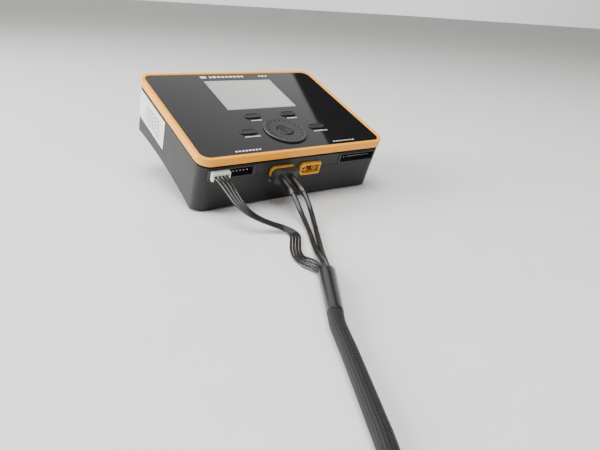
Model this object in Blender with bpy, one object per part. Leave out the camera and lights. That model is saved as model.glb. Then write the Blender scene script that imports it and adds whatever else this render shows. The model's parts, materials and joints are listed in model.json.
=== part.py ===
"""A balance battery charger: a shallow box with an orange bezel and a glossy control panel, propped up at
the back on a fold-out stand, with a sleeved charge lead plugged into its front.

Everything is in metres with +Z up. The box is modelled level in its own frame, the body frame, whose z = 0
is the plane of its feet, and the body frame is then tipped forward onto the bevel of its front feet.
"""

import math

import bmesh
import bpy
from mathutils import Matrix, Vector

# ---- Driving dimensions: the case ----
CASE_WIDTH = 0.1450
CASE_DEPTH = 0.1098
CASE_RADIUS = 0.008
CASE_WALL = 0.002
FACE_HEIGHT = 0.0420  # top of the control panel above the feet
BASE_HEIGHT = 0.0043  # underside of the floor plate above the feet
BASE_THICK = 0.0022
SKIRT_LOW = 0.0010  # lowest edge of the walls above the feet
SEAM_HEIGHT = 0.0266  # where the cover's apron meets the front wall
APRON_WIDTH = 0.132
APRON_THICK = 0.003
TILT = math.radians(19.3)
FIT = 0.0003  # gap between pieces that touch
SEAM_GAP = 0.0003

# ---- Driving dimensions: bezel, cover and control panel ----
BEZEL_OVERHANG = 0.0007
BEZEL_LIP = 0.0027
BEZEL_SIDE = 0.0053
BEZEL_PROUD = 0.0004
REVEAL = 0.0016  # dark gap between the bezel and the walls
FASCIA_THICK = 0.0015
COVER_THICK = 0.0022
COVER_RIM = 0.002
COVER_RIM_DEPTH = 0.0040
COVER_FLANGE_INSET = 0.0008
COVER_FLANGE_THICK = 0.001
WINDOW_WIDTH = 0.0574
WINDOW_DEPTH = 0.0429
WINDOW_Y = 0.0214
DISPLAY_MARGIN = 0.0050
DISPLAY_VIEW_MARGIN = 0.0008
DIAL_Y = -0.0312
DIAL_RADIUS = 0.0155
DIAL_HEIGHT = 0.0014
DIAL_HUB_RADIUS = 0.0086
DIAL_HUB_CLEARANCE = 0.0006
DIAL_HUB_DEPTH = 0.0037
BUTTON_RADIUS = 0.0056
BUTTON_CLEARANCE = 0.0004
BUTTON_HEIGHT = 0.0011
BUTTON_STEM_RADIUS = 0.0022
KEY_LENGTH = 0.0120
KEY_WIDTH = 0.0056
KEY_HEIGHT = 0.0009
KEY_CLEARANCE = 0.0003
KEY_FLANGE = 0.001  # how far the retaining flange stands out all round
KEY_PLACES = {
    "upper_left_key": (-0.0146, -0.0100),
    "upper_right_key": (0.0146, -0.0100),
    "lower_left_key": (-0.0276, -0.0290),
    "lower_right_key": (0.0276, -0.0290),
}
PRESS_TRAVEL = 0.0005
PRESS_SPARE = 0.0003

# ---- Driving dimensions: sockets and plugs ----
OUTPUT_LEFT_X = -0.0136
OUTPUT_RIGHT_X = 0.0090
OUTPUT_HEIGHT = 0.0268
OUTPUT_WIDTH = 0.0168
OUTPUT_TALL = 0.0088
OUTPUT_CHAMFER = 0.0022
OUTPUT_WALL = 0.0012
OUTPUT_PROUD = 0.0023
OUTPUT_DEPTH = 0.0090
OUTPUT_BACK = 0.0028
OUTPUT_FLANGE = 0.0009
OUTPUT_FLANGE_THICK = 0.0015
PIN_RADIUS = 0.0017
PIN_SPREAD = 0.0079
PIN_RECESS = 0.0015
PIN_TAIL = 0.0020
PIN_CLEARANCE = 0.0003
BALANCE_HEIGHT = 0.0308
BALANCE_SLOT_WIDTH = 0.0300
BALANCE_SLOT_TALL = 0.0063
BALANCE_SLOT_START = 0.0356  # inner end of each slot, from the middle of the case
BALANCE_WALL = 0.0007
BALANCE_END_WALL = 0.0016
BALANCE_PROUD = 0.0004
BALANCE_DEPTH = 0.0065
BALANCE_BACK = 0.0024
LED_X = -0.0204
LED_HEIGHT = 0.0200
LED_RADIUS = 0.0011
LED_LENGTH = 0.0036
INPUT_HEIGHT = 0.0200
INPUT_WIDTH = 0.0200
INPUT_TALL = 0.0104
INPUT_CHAMFER = 0.0028
INPUT_PROUD = 0.0023
INPUT_LENGTH = 0.0110
INPUT_HOLE_RADIUS = 0.0022
INPUT_HOLE_SPREAD = 0.0098
INPUT_FLANGE = 0.0010

# ---- Driving dimensions: inside ----
BOARD_THICK = 0.0016
CONTROL_BOARD_LOW = 0.0305
CONTROL_BOARD_HALF = 0.062
CONTROL_BOARD_FRONT = -0.043
CONTROL_BOARD_BACK = 0.044
MAIN_BOARD_LOW = 0.0120
MAIN_BOARD_HALF = 0.068
MAIN_BOARD_FRONT = 0.001
MAIN_BOARD_BACK = 0.044
CONNECTOR_BOARD_LOW = 0.0194
CONNECTOR_BOARD_HALF = 0.067
CONNECTOR_BOARD_FRONT = -0.0510
CONNECTOR_BOARD_BACK = -0.0440
RAIL_THICK = 0.002
RAIL_INSET = 0.0025
POST_SIZE = 0.004
ENCODER_RADIUS = 0.011
ENCODER_BORE = 0.0052
DOME_RADIUS = 0.0026
DOME_HEIGHT = 0.0020
MAT_THICK = 0.0006
HEAT_SINK_HALF = 0.044
HEAT_SINK_HEIGHT = 0.0152
HEAT_SINK_BASE = 0.003
HEAT_SINK_FIN = 0.0016
HEAT_SINK_FINS = 15
CAPACITOR_RADIUS = 0.0062
CAPACITOR_HEIGHT = 0.0145
CAPACITOR_X = 0.0570
CAPACITOR_Y = 0.0200
FAN_SIZE = 0.040
FAN_THICK = 0.010
FAN_X = 0.030
FAN_Y = -0.0205
FAN_DUCT_RADIUS = 0.0188
FAN_CORNER = 0.003
FAN_HUB_RADIUS = 0.009
FAN_TIP_RADIUS = 0.0180
FAN_BLADES = 7
FAN_STRUT = 0.0022
FAN_STRUT_THICK = 0.0015
FAN_SHAFT_RADIUS = 0.0018
INTAKE_RADIUS = 0.0178
INTAKE_SLOT = 0.0028
INTAKE_PITCH = 0.0052
VENT_SLOT = 0.0022
VENT_PITCH = 0.0044
VENT_LOW = 0.0110
VENT_HIGH = 0.0280
VENT_START = 0.0155
VENT_COUNT = 7
BOSS_RADIUS = 0.0032
BOSS_PLACES = {
    "front_left": (-0.028, -0.047),
    "front_right": (0.028, -0.047),
    "back_left": (-0.048, 0.048),
    "back_right": (0.048, 0.048),
}
SCREW_RADIUS = 0.0011
SCREW_CLEARANCE = 0.0003
SCREW_LENGTH = 0.0120
SCREW_HEAD_RADIUS = 0.0027
SCREW_HEAD_THICK = 0.0015
SCREW_SOCKET_RADIUS = 0.0013
SCREW_SOCKET_DEPTH = 0.0009

# ---- Driving dimensions: label, feet and stand ----
LABEL_LOW = 0.0134
LABEL_HIGH = 0.0342
LABEL_START_Y = 0.0018
LABEL_WRAP = math.radians(50)
LABEL_GAP = 0.0001
LABEL_THICK = 0.00015
FOOT_EDGE_Y = -0.048  # the line that the case tips about
FOOT_WIDTH = 0.014
FOOT_X = 0.060
FOOT_LENGTH = 0.0106
FOOT_INSET = 0.0013  # from the skirt's inner face
SKIRT_CLEAR = 0.0009  # skirt above the standing surface, tipped
ARCH_HALF = 0.0495
STAND_Y = 0.036
STAND_AXIS_HEIGHT = 0.0023
STAND_THICK = 0.003
STAND_WIDTH = 0.072
STAND_LENGTH = 0.0275
STAND_BARREL_RADIUS = 0.0016
STAND_PIN_RADIUS = 0.0008
STAND_PIN_CLEARANCE = 0.0002
STAND_LUG_WIDTH = 0.0044
STAND_LUG_LENGTH = 0.0048
STAND_SIDE_GAP = 0.0006
PAD_THICK = 0.0034
PAD_INSET = 0.002

# ---- Driving dimensions: the charge lead ----
BALANCE_PLUG_WIDTH = 0.0123
BALANCE_PLUG_PROUD = 0.0034
BALANCE_WIRES = 4
BALANCE_PITCH = 0.0025
BALANCE_WIRE_RADIUS = 0.0007
POWER_PLUG_BODY_WIDTH = 0.0176
POWER_PLUG_BODY_TALL = 0.0092
POWER_PLUG_BODY = 0.0055
POWER_WIRE_RADIUS = 0.0016
COLLAR_WIDTH = 0.0090
COLLAR_TALL = 0.0080
COLLAR_SHIFT = -0.00035
SLEEVE_RADIUS = 0.0036
FAR_LEAD_RADIUS = 0.0015
FAR_PLUG_LENGTH = 0.0080
FAR_POWER_WIDTH = 0.0164
FAR_POWER_TALL = 0.0081
FLOOR_GAP = 0.00005

# ---- Sizes that follow ----
HALF_WIDTH = CASE_WIDTH / 2
HALF_DEPTH = CASE_DEPTH / 2
BASE_TOP = BASE_HEIGHT + BASE_THICK
BEZEL_TOP = FACE_HEIGHT + BEZEL_PROUD
BEZEL_BOTTOM = BEZEL_TOP - BEZEL_SIDE
WALL_TOP = BEZEL_BOTTOM - REVEAL
COVER_TOP = FACE_HEIGHT - FASCIA_THICK - FIT
COVER_CEILING = COVER_TOP - COVER_THICK
COVER_LOW = COVER_CEILING - COVER_RIM_DEPTH
COVER_INSET = CASE_WALL + FIT
FRONT = -HALF_DEPTH
CONTROL_BOARD_TOP = CONTROL_BOARD_LOW + BOARD_THICK
MAIN_BOARD_TOP = MAIN_BOARD_LOW + BOARD_THICK
MAT_TOP = FIT + MAT_THICK + DOME_HEIGHT
CORNER_STEPS = 6

COS = math.cos(TILT)
SIN = math.sin(TILT)
FRONTMOST = (FRONT - BEZEL_OVERHANG) * COS - BEZEL_TOP * SIN
BACKMOST = HALF_DEPTH * COS - SKIRT_LOW * SIN
BODY_SHIFT = Vector((0, -(FRONTMOST + BACKMOST) / 2, -FOOT_EDGE_Y * SIN))
BODY = Matrix.Translation(BODY_SHIFT) @ Matrix.Rotation(TILT, 4, "X")


# ---- Outlines ----
def circle(radius, steps, centre=(0.0, 0.0), turn=0.0):
    angles = [turn + math.tau * i / steps for i in range(steps)]
    return [(centre[0] + radius * math.cos(a), centre[1] + radius * math.sin(a)) for a in angles]


def rectangle(x_low, x_high, y_low, y_high):
    return [(x_low, y_low), (x_high, y_low), (x_high, y_high), (x_low, y_high)]


def rounded(width, depth, radius, centre=(0.0, 0.0), steps=CORNER_STEPS):
    """A rectangle with round corners, anticlockwise from the right side of the front right corner."""
    points = []
    for quarter, (sx, sy) in enumerate(((1, 1), (-1, 1), (-1, -1), (1, -1))):
        cx = centre[0] + sx * (width / 2 - radius)
        cy = centre[1] + sy * (depth / 2 - radius)
        for i in range(steps + 1):
            angle = (quarter + i / steps) * math.pi / 2
            points.append((cx + radius * math.cos(angle), cy + radius * math.sin(angle)))
    return points


def case_outline(inset):
    """The case's outline moved in by inset, or out where it is negative."""
    return rounded(CASE_WIDTH - 2 * inset, CASE_DEPTH - 2 * inset, CASE_RADIUS - inset)


def keyed(width, tall, chamfer, centre):
    """A power connector's outline: both corners of one short side are cut off, so it only fits one way."""
    x, z = centre
    left, right, low, high = x - width / 2, x + width / 2, z - tall / 2, z + tall / 2
    return [(left + chamfer, low), (right, low), (right, high), (left + chamfer, high),
            (left, high - chamfer), (left, low + chamfer)]


# ---- Mesh building ----
def placed(plane, u, v, w):
    """The point (u, v) of an outline, at w along the direction that the outline's plane leaves."""
    return {"xy": (u, v, w), "xz": (u, w, v), "yz": (w, u, v)}[plane]


def loft(bm, loops, ring=False):
    """Joins loops of points, each as long as the last, into one closed body, or into a ring."""
    rows = [[bm.verts.new(p) for p in loop] for loop in loops]
    pairs = list(zip(rows, rows[1:]))
    if ring:
        pairs.append((rows[-1], rows[0]))
    for low, high in pairs:
        for i in range(len(low)):
            j = (i + 1) % len(low)
            bm.faces.new((low[i], low[j], high[j], high[i]))
    if not ring:
        bm.faces.new(rows[0][::-1])
        bm.faces.new(rows[-1])


def prism(bm, outline, low, high, plane="xy"):
    loft(bm, [[placed(plane, u, v, w) for u, v in outline] for w in (low, high)])


def box(bm, x_low, x_high, y_low, y_high, z_low, z_high):
    prism(bm, rectangle(x_low, x_high, y_low, y_high), z_low, z_high)


def turned(bm, profile, steps, ring=False):
    """Turns a profile of (radius, height) points about the Z axis."""
    loft(bm, [[(x, y, z) for x, y in circle(r, steps)] for r, z in profile], ring)


def finish(name, colour, roughness, metallic=0.0):
    material = bpy.data.materials.get(name) or bpy.data.materials.new(name)
    material.use_nodes = True
    shader = material.node_tree.nodes["Principled BSDF"]
    shader.inputs["Base Color"].default_value = (*colour, 1.0)
    shader.inputs["Roughness"].default_value = roughness
    shader.inputs["Metallic"].default_value = metallic
    return material


FINISHES = {
    "shell_plastic": ((0.035, 0.035, 0.037), 0.55),
    "bezel_orange": ((0.85, 0.42, 0.10), 0.35),
    "panel_gloss": ((0.02, 0.02, 0.022), 0.08),
    "display_glass": ((0.55, 0.56, 0.55), 0.20),
    "key_plastic": ((0.03, 0.03, 0.032), 0.30),
    "board_green": ((0.03, 0.16, 0.08), 0.5),
    "heat_sink_metal": ((0.75, 0.76, 0.78), 0.4, 1.0),
    "amber_nylon": ((0.85, 0.55, 0.10), 0.4),
    "contact_brass": ((0.85, 0.66, 0.32), 0.25, 1.0),
    "black_nylon": ((0.03, 0.03, 0.03), 0.45),
    "white_nylon": ((0.85, 0.84, 0.80), 0.45),
    "capacitor_can": ((0.10, 0.12, 0.30), 0.35),
    "label_paper": ((0.86, 0.86, 0.85), 0.6),
    "led_lens": ((0.85, 0.88, 0.86), 0.15),
    "rubber": ((0.03, 0.03, 0.03), 0.85),
    "screw_steel": ((0.30, 0.30, 0.31), 0.35, 1.0),
    "silicone": ((0.025, 0.025, 0.025), 0.45),
    "heat_shrink": ((0.03, 0.03, 0.035), 0.35),
    "braid": ((0.03, 0.03, 0.03), 0.7),
}


def make(name, build, slot, parent=None, place=(0, 0, 0), smooth=False):
    """One sub-part: build(bm) fills its mesh around its own origin, which is put at place in its parent."""
    bm = bmesh.new()
    build(bm)
    bmesh.ops.recalc_face_normals(bm, faces=bm.faces)
    mesh = bpy.data.meshes.new(name)
    bm.to_mesh(mesh)
    bm.free()
    part = bpy.data.objects.new(name, mesh)
    bpy.context.scene.collection.objects.link(part)
    part.parent = parent
    part.location = place
    mesh.materials.append(finish(slot, *FINISHES[slot]))
    if smooth:
        mesh.shade_smooth()
        mesh.set_sharp_from_angle(angle=math.radians(35))
    return part


def tool(name, build, parent=None, place=(0, 0, 0)):
    """A guide body that cuts another or joins it, and isn't a sub-part."""
    guide = make(name, build, "shell_plastic", parent, place)
    guide.hide_render = True
    guide.display_type = "WIRE"
    return guide


def combine(part, guide, operation):
    modifier = part.modifiers.new(guide.name, "BOOLEAN")
    modifier.operation = operation
    modifier.solver = "EXACT"
    modifier.object = guide


def cut(part, *guides):
    for guide in guides:
        combine(part, guide, "DIFFERENCE")


def join(part, *guides):
    for guide in guides:
        combine(part, guide, "UNION")


# ---- Openings that several pieces share ----
def output_outline(x, grow=0.0):
    return keyed(OUTPUT_WIDTH + 2 * grow, OUTPUT_TALL + 2 * grow, OUTPUT_CHAMFER, (x, OUTPUT_HEIGHT))


def balance_slot(side, grow_side=0.0, grow_tall=0.0):
    """The outline of a balance slot on the left (-1) or right (1), or of the socket's body round it."""
    near = side * BALANCE_SLOT_START
    far = near + side * BALANCE_SLOT_WIDTH
    low = BALANCE_HEIGHT - BALANCE_SLOT_TALL / 2 - grow_tall
    high = BALANCE_HEIGHT + BALANCE_SLOT_TALL / 2 + grow_tall
    return rectangle(min(near, far) - grow_side, max(near, far) + grow_side, low, high)


def input_outline(grow=0.0):
    return keyed(INPUT_WIDTH + 2 * grow, INPUT_TALL + 2 * grow, INPUT_CHAMFER, (0.0, INPUT_HEIGHT))


def front_windows(bm):
    """Openings in the front for the two outputs, the two balance sockets and the light."""
    inner = FRONT + CASE_RADIUS
    for x in (OUTPUT_LEFT_X, OUTPUT_RIGHT_X):
        prism(bm, output_outline(x, FIT), FRONT - 0.004, inner, "xz")
    for side in (-1, 1):
        prism(bm, balance_slot(side, BALANCE_END_WALL + FIT, BALANCE_WALL + FIT), FRONT - 0.004, inner, "xz")
    prism(bm, circle(LED_RADIUS + FIT, 12, (LED_X, LED_HEIGHT)), FRONT - 0.004, inner, "xz")


# ---- The two shells ----
def lower_shell(body):
    def tub(bm):
        loops = [(CASE_WALL, BASE_TOP), (CASE_WALL, WALL_TOP), (0.0, WALL_TOP),
                 (0.0, SKIRT_LOW), (CASE_WALL, SKIRT_LOW), (CASE_WALL, BASE_HEIGHT)]
        loft(bm, [[(x, y, z) for x, y in case_outline(inset)] for inset, z in loops])

    def inside_ribs(bm):
        sunk = BASE_TOP - FIT
        top = MAIN_BOARD_LOW - FIT
        for y in (MAIN_BOARD_FRONT + RAIL_INSET, MAIN_BOARD_BACK - RAIL_INSET):
            box(bm, -MAIN_BOARD_HALF, MAIN_BOARD_HALF, y - RAIL_THICK / 2, y + RAIL_THICK / 2, sunk, top)
        y = (CONNECTOR_BOARD_FRONT + CONNECTOR_BOARD_BACK) / 2
        for side in (-1, 1):
            x = side * 0.75 * CONNECTOR_BOARD_HALF
            half = POST_SIZE / 2
            box(bm, x - half, x + half, y - half, y + half, sunk, CONNECTOR_BOARD_LOW - FIT)

    def stand_lugs(bm):
        half = STAND_LUG_LENGTH / 2
        low = STAND_AXIS_HEIGHT - STAND_BARREL_RADIUS
        for side in (-1, 1):
            near = side * (STAND_WIDTH / 2 + STAND_SIDE_GAP)
            far = near + side * STAND_LUG_WIDTH
            box(bm, min(near, far), max(near, far), STAND_Y - half, STAND_Y + half, low, BASE_HEIGHT + FIT)

    def arch(bm):
        """Both side skirts rise in a shallow arch, so that air reaches the fans."""
        rise = BASE_HEIGHT - SKIRT_LOW
        radius = (ARCH_HALF**2 + rise**2) / (2 * rise)
        spread = math.asin(ARCH_HALF / radius)
        angles = [spread * (i / 8 - 1) for i in range(17)]
        curve = [(radius * math.sin(a), SKIRT_LOW + radius * (math.cos(a) - math.cos(spread))) for a in angles]
        outline = [(-ARCH_HALF, -0.002)] + curve + [(ARCH_HALF, -0.002)]
        for side in (-1, 1):
            ends = sorted((side * (HALF_WIDTH + 0.001), side * (HALF_WIDTH - CASE_WALL - 0.001)))
            prism(bm, outline, *ends, "yz")

    def toe(bm):
        """The front edge is cut parallel to the surface that the tipped case stands on."""
        slope = math.tan(TILT)
        front, back = FRONT - 0.004, FOOT_EDGE_Y
        points = [(front, (FOOT_EDGE_Y - front) * slope + SKIRT_CLEAR), (front, -0.003), (back, -0.003),
                  (back, SKIRT_CLEAR)]
        prism(bm, points, -HALF_WIDTH - 0.001, HALF_WIDTH + 0.001, "yz")

    def apron_notch(bm):
        half = APRON_WIDTH / 2 + SEAM_GAP
        box(bm, -half, half, FRONT - 0.001, FRONT + CASE_WALL + 0.001, SEAM_HEIGHT - SEAM_GAP / 2,
            WALL_TOP + 0.001)

    def floor_holes(bm):
        low, high = BASE_HEIGHT - 0.001, BASE_TOP + 0.001
        for side in (-1, 1):
            count = int(INTAKE_RADIUS / INTAKE_PITCH)
            for i in range(-count, count + 1):
                x = i * INTAKE_PITCH
                half = math.sqrt(INTAKE_RADIUS**2 - x**2)
                middle = side * FAN_X + x
                box(bm, middle - INTAKE_SLOT / 2, middle + INTAKE_SLOT / 2, FAN_Y - half, FAN_Y + half, low,
                    high)
        for place in BOSS_PLACES.values():
            prism(bm, circle(SCREW_RADIUS + SCREW_CLEARANCE, 12, place), low, high)

    def back_holes(bm):
        near, far = HALF_DEPTH - CASE_WALL - 0.001, HALF_DEPTH + 0.001
        prism(bm, input_outline(FIT), near, far, "xz")
        for side in (-1, 1):
            for i in range(VENT_COUNT):
                x = side * (VENT_START + i * VENT_PITCH)
                box(bm, x - VENT_SLOT / 2, x + VENT_SLOT / 2, near, far, VENT_LOW, VENT_HIGH)

    def lug_bores(bm):
        half = STAND_WIDTH / 2 + 2 * STAND_LUG_WIDTH
        hole = circle(STAND_PIN_RADIUS + STAND_PIN_CLEARANCE, 16, (STAND_Y, STAND_AXIS_HEIGHT))
        prism(bm, hole, -half, half, "yz")

    shell = make("lower_shell", tub, "shell_plastic", body, smooth=True)
    join(shell, tool("inside_ribs", inside_ribs, body), tool("stand_lugs", stand_lugs, body))
    cut(shell, tool("side_arch", arch, body), tool("toe_cut", toe, body),
        tool("apron_notch", apron_notch, body),
        tool("floor_holes", floor_holes, body), tool("back_holes", back_holes, body),
        tool("lug_bores", lug_bores, body), bpy.data.objects["front_windows"])
    return shell


def upper_shell(body):
    rim = COVER_INSET + COVER_RIM
    flange_low = WALL_TOP + FIT
    flange_high = BEZEL_BOTTOM - FIT

    def plate(bm):
        loops = [(rim, COVER_CEILING), (rim, COVER_LOW), (COVER_INSET, COVER_LOW), (COVER_INSET, flange_low),
                 (COVER_FLANGE_INSET, flange_low), (COVER_FLANGE_INSET, flange_high),
                 (COVER_INSET, flange_high), (COVER_INSET, COVER_TOP)]
        loft(bm, [[(x, y, z) for x, y in case_outline(inset)] for inset, z in loops])

    def apron(bm):
        half = APRON_WIDTH / 2
        box(bm, -half, half, FRONT, FRONT + APRON_THICK, SEAM_HEIGHT + SEAM_GAP / 2, WALL_TOP)

    def bosses(bm):
        for place in BOSS_PLACES.values():
            prism(bm, circle(BOSS_RADIUS, 16, place), BASE_TOP + FIT, COVER_CEILING + FIT)
        half = POST_SIZE / 2
        for x in (-1, 1):
            for y in (CONTROL_BOARD_FRONT + POST_SIZE, CONTROL_BOARD_BACK - POST_SIZE):
                middle = x * (CONTROL_BOARD_HALF - POST_SIZE)
                box(bm, middle - half, middle + half, y - half, y + half, CONTROL_BOARD_TOP + FIT,
                    COVER_CEILING + FIT)

    def screw_holes(bm):
        for place in BOSS_PLACES.values():
            hole = circle(SCREW_RADIUS + SCREW_CLEARANCE, 12, place)
            prism(bm, hole, BASE_TOP - 0.001, BASE_HEIGHT + SCREW_LENGTH + 0.001)

    def plate_holes(bm):
        low, high = COVER_CEILING - 0.001, COVER_TOP + 0.001
        across = WINDOW_WIDTH / 2 + DISPLAY_VIEW_MARGIN
        deep = WINDOW_DEPTH / 2 + DISPLAY_VIEW_MARGIN
        box(bm, -across, across, WINDOW_Y - deep, WINDOW_Y + deep, low, high)
        prism(bm, circle(DIAL_HUB_RADIUS + DIAL_HUB_CLEARANCE, 32, (0, DIAL_Y)), low, high)
        for place in KEY_PLACES.values():
            prism(bm, key_outline(KEY_CLEARANCE, place), low, high)

    shell = make("upper_shell", plate, "shell_plastic", body, smooth=True)
    join(shell, tool("apron", apron, body), tool("cover_bosses", bosses, body))
    cut(shell, tool("screw_holes", screw_holes, body), tool("plate_holes", plate_holes, body),
        bpy.data.objects["front_windows"])
    return shell


def bezel_ring(body):
    """The orange frame round the control panel, with a round outer edge and a small inner one."""
    soft, inner_soft = 0.0011, 0.0005
    profile = [(0.0, BEZEL_BOTTOM), (0.0, BEZEL_TOP - soft), (0.3 * soft, BEZEL_TOP - 0.3 * soft),
               (soft, BEZEL_TOP), (BEZEL_LIP - inner_soft, BEZEL_TOP), (BEZEL_LIP, BEZEL_TOP - inner_soft),
               (BEZEL_LIP, BEZEL_BOTTOM)]

    def build(bm):
        loft(bm, [[(x, y, z) for x, y in case_outline(inset - BEZEL_OVERHANG)] for inset, z in profile], True)

    return make("bezel_ring", build, "bezel_orange", body, smooth=True)


# ---- The control panel ----
def key_outline(grow=0.0, centre=(0.0, 0.0)):
    radius = KEY_WIDTH / 2 + grow
    return rounded(KEY_LENGTH + 2 * grow, 2 * radius, radius - 1e-5, centre, 5)


def fascia_panel(body):
    low = FACE_HEIGHT - FASCIA_THICK

    def sheet(bm):
        prism(bm, case_outline(BEZEL_LIP + FIT - BEZEL_OVERHANG), low, FACE_HEIGHT)

    def holes(bm):
        below, above = low - 0.001, FACE_HEIGHT + 0.001
        across, deep = WINDOW_WIDTH / 2, WINDOW_DEPTH / 2
        box(bm, -across, across, WINDOW_Y - deep, WINDOW_Y + deep, below, above)
        prism(bm, circle(DIAL_HUB_RADIUS + DIAL_HUB_CLEARANCE, 32, (0, DIAL_Y)), below, above)
        for place in KEY_PLACES.values():
            prism(bm, key_outline(KEY_CLEARANCE, place), below, above)

    cut(make("fascia_panel", sheet, "panel_gloss", body, smooth=True), tool("fascia_holes", holes, body))


def display(body):
    def window(bm):
        across, deep = WINDOW_WIDTH / 2 - FIT, WINDOW_DEPTH / 2 - FIT
        box(bm, -across, across, WINDOW_Y - deep, WINDOW_Y + deep, FACE_HEIGHT - FASCIA_THICK, FACE_HEIGHT)

    def module(bm):
        across, deep = WINDOW_WIDTH / 2 + DISPLAY_MARGIN, WINDOW_DEPTH / 2 + DISPLAY_MARGIN / 2
        box(bm, -across, across, WINDOW_Y - deep, WINDOW_Y + deep, CONTROL_BOARD_TOP + FIT,
            COVER_CEILING - FIT)

    make("display_window", window, "display_glass", body)
    make("display_module", module, "key_plastic", body)


def jog_dial(body):
    """A dished ring on a hollow hub. Its origin is on its axis, at the panel's face."""
    bore = BUTTON_RADIUS + BUTTON_CLEARANCE
    rim = DIAL_RADIUS
    profile = [(bore, -DIAL_HUB_DEPTH), (DIAL_HUB_RADIUS, -DIAL_HUB_DEPTH), (DIAL_HUB_RADIUS, FIT),
               (rim, FIT),
               (rim, DIAL_HEIGHT - 0.0008), (rim - 0.0003, DIAL_HEIGHT - 0.0002), (rim - 0.0010, DIAL_HEIGHT),
               (rim - 0.0022, DIAL_HEIGHT - 0.0003), (rim - 0.0050, DIAL_HEIGHT - 0.0007),
               (bore + 0.0006, DIAL_HEIGHT - 0.0006), (bore, DIAL_HEIGHT - 0.0010)]
    make("jog_dial", lambda bm: turned(bm, profile, 40, True), "key_plastic", body,
         (0, DIAL_Y, FACE_HEIGHT), True)


def dial_button(body):
    """The round button in the middle of the dial, on a stem that reaches the switch mat."""
    top = BUTTON_HEIGHT
    stem_low = CONTROL_BOARD_TOP + MAT_TOP + PRESS_TRAVEL + PRESS_SPARE - FACE_HEIGHT
    profile = [(BUTTON_STEM_RADIUS, stem_low), (BUTTON_STEM_RADIUS, -0.0012), (BUTTON_RADIUS, -0.0012),
               (BUTTON_RADIUS, top - 0.0006), (BUTTON_RADIUS - 0.0004, top - 0.0001),
               (BUTTON_RADIUS - 0.0012, top), (BUTTON_RADIUS * 0.4, top - 0.0003)]
    make("dial_button", lambda bm: turned(bm, profile, 28), "key_plastic", body, (0, DIAL_Y, FACE_HEIGHT),
         True)


def keys(body):
    """Four long keys. Each origin is at the panel's face, on the line that the key moves along."""
    flange_top = COVER_CEILING - FACE_HEIGHT - 2 * FIT
    stem_low = CONTROL_BOARD_TOP + MAT_TOP + PRESS_TRAVEL + PRESS_SPARE - FACE_HEIGHT
    loops = [(KEY_FLANGE, stem_low), (KEY_FLANGE, flange_top), (0.0, flange_top), (0.0, KEY_HEIGHT - 0.0005),
             (-0.0002, KEY_HEIGHT - 0.0001), (-0.0006, KEY_HEIGHT)]

    def build(bm):
        loft(bm, [[(x, y, z) for x, y in key_outline(grow)] for grow, z in loops])

    for name, (x, y) in KEY_PLACES.items():
        make(name, build, "key_plastic", body, (x, y, FACE_HEIGHT), True)



def control_board(body):
    def board(bm):
        box(bm, -CONTROL_BOARD_HALF, CONTROL_BOARD_HALF, CONTROL_BOARD_FRONT, CONTROL_BOARD_BACK,
            CONTROL_BOARD_LOW, CONTROL_BOARD_TOP)

    def encoder(bm):
        low = CONTROL_BOARD_TOP + FIT + MAT_THICK + FIT
        high = COVER_CEILING - FIT
        profile = [(ENCODER_BORE, low), (ENCODER_RADIUS, low), (ENCODER_RADIUS, high), (ENCODER_BORE, high)]
        turned(bm, profile, 24, True)

    def mat(bm):
        """One silicone sheet with a dome under each key and under the middle button."""
        reach = KEY_PLACES["lower_right_key"][0] + KEY_LENGTH / 2
        low = CONTROL_BOARD_TOP + FIT
        front = DIAL_Y - ENCODER_RADIUS
        back = WINDOW_Y - WINDOW_DEPTH / 2 - DISPLAY_MARGIN / 2 - FIT
        box(bm, -reach, reach, front, back, low, low + MAT_THICK)

    def domes(bm):
        low = CONTROL_BOARD_TOP + FIT + MAT_THICK / 2
        top = CONTROL_BOARD_TOP + MAT_TOP
        for x, y in list(KEY_PLACES.values()) + [(0.0, DIAL_Y)]:
            rings = [(DOME_RADIUS, low), (DOME_RADIUS * 0.9, top - 0.0006), (DOME_RADIUS * 0.5, top)]
            loft(bm, [[(px, py, z) for px, py in circle(r, 12, (x, y))] for r, z in rings])

    make("control_board", board, "board_green", body)
    make("encoder", encoder, "black_nylon", body, (0, DIAL_Y, 0), True)
    join(make("switch_mat", mat, "white_nylon", body), tool("switch_domes", domes, body))


# ---- Sockets ----
def output_sockets(body):
    front = FRONT - OUTPUT_PROUD
    floor = front + OUTPUT_DEPTH
    back = floor + OUTPUT_BACK
    flange_front = FRONT + APRON_THICK + FIT
    for side, x in (("left", OUTPUT_LEFT_X), ("right", OUTPUT_RIGHT_X)):
        places = [x - PIN_SPREAD / 2, x + PIN_SPREAD / 2]

        def housing(bm, x=x):
            loops = [(-OUTPUT_WALL, floor), (-OUTPUT_WALL, front), (0.0, front), (0.0, flange_front),
                     (OUTPUT_FLANGE, flange_front), (OUTPUT_FLANGE, flange_front + OUTPUT_FLANGE_THICK),
                     (0.0, flange_front + OUTPUT_FLANGE_THICK), (0.0, back)]
            loft(bm, [[(px, y, pz) for px, pz in output_outline(x, grow)] for grow, y in loops])

        def bores(bm, places=places):
            for place in places:
                hole = circle(PIN_RADIUS + PIN_CLEARANCE, 16, (place, OUTPUT_HEIGHT))
                prism(bm, hole, floor - 0.001, back + 0.001, "xz")

        cut(make(f"output_socket_{side}", housing, "amber_nylon", body),
            tool(f"pin_bores_{side}", bores, body))
        for end, place in zip(("outer", "inner"), places):
            tip = front + PIN_RECESS
            rings = [(0.7, tip), (1.0, tip + 0.0005), (1.0, back + PIN_TAIL)]

            def pin(bm, place=place, rings=rings):
                loft(bm, [[(px, y, pz) for px, pz in circle(r * PIN_RADIUS, 16, (place, OUTPUT_HEIGHT))]
                          for r, y in rings])

            make(f"output_pin_{side}_{end}", pin, "contact_brass", body, smooth=True)


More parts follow.
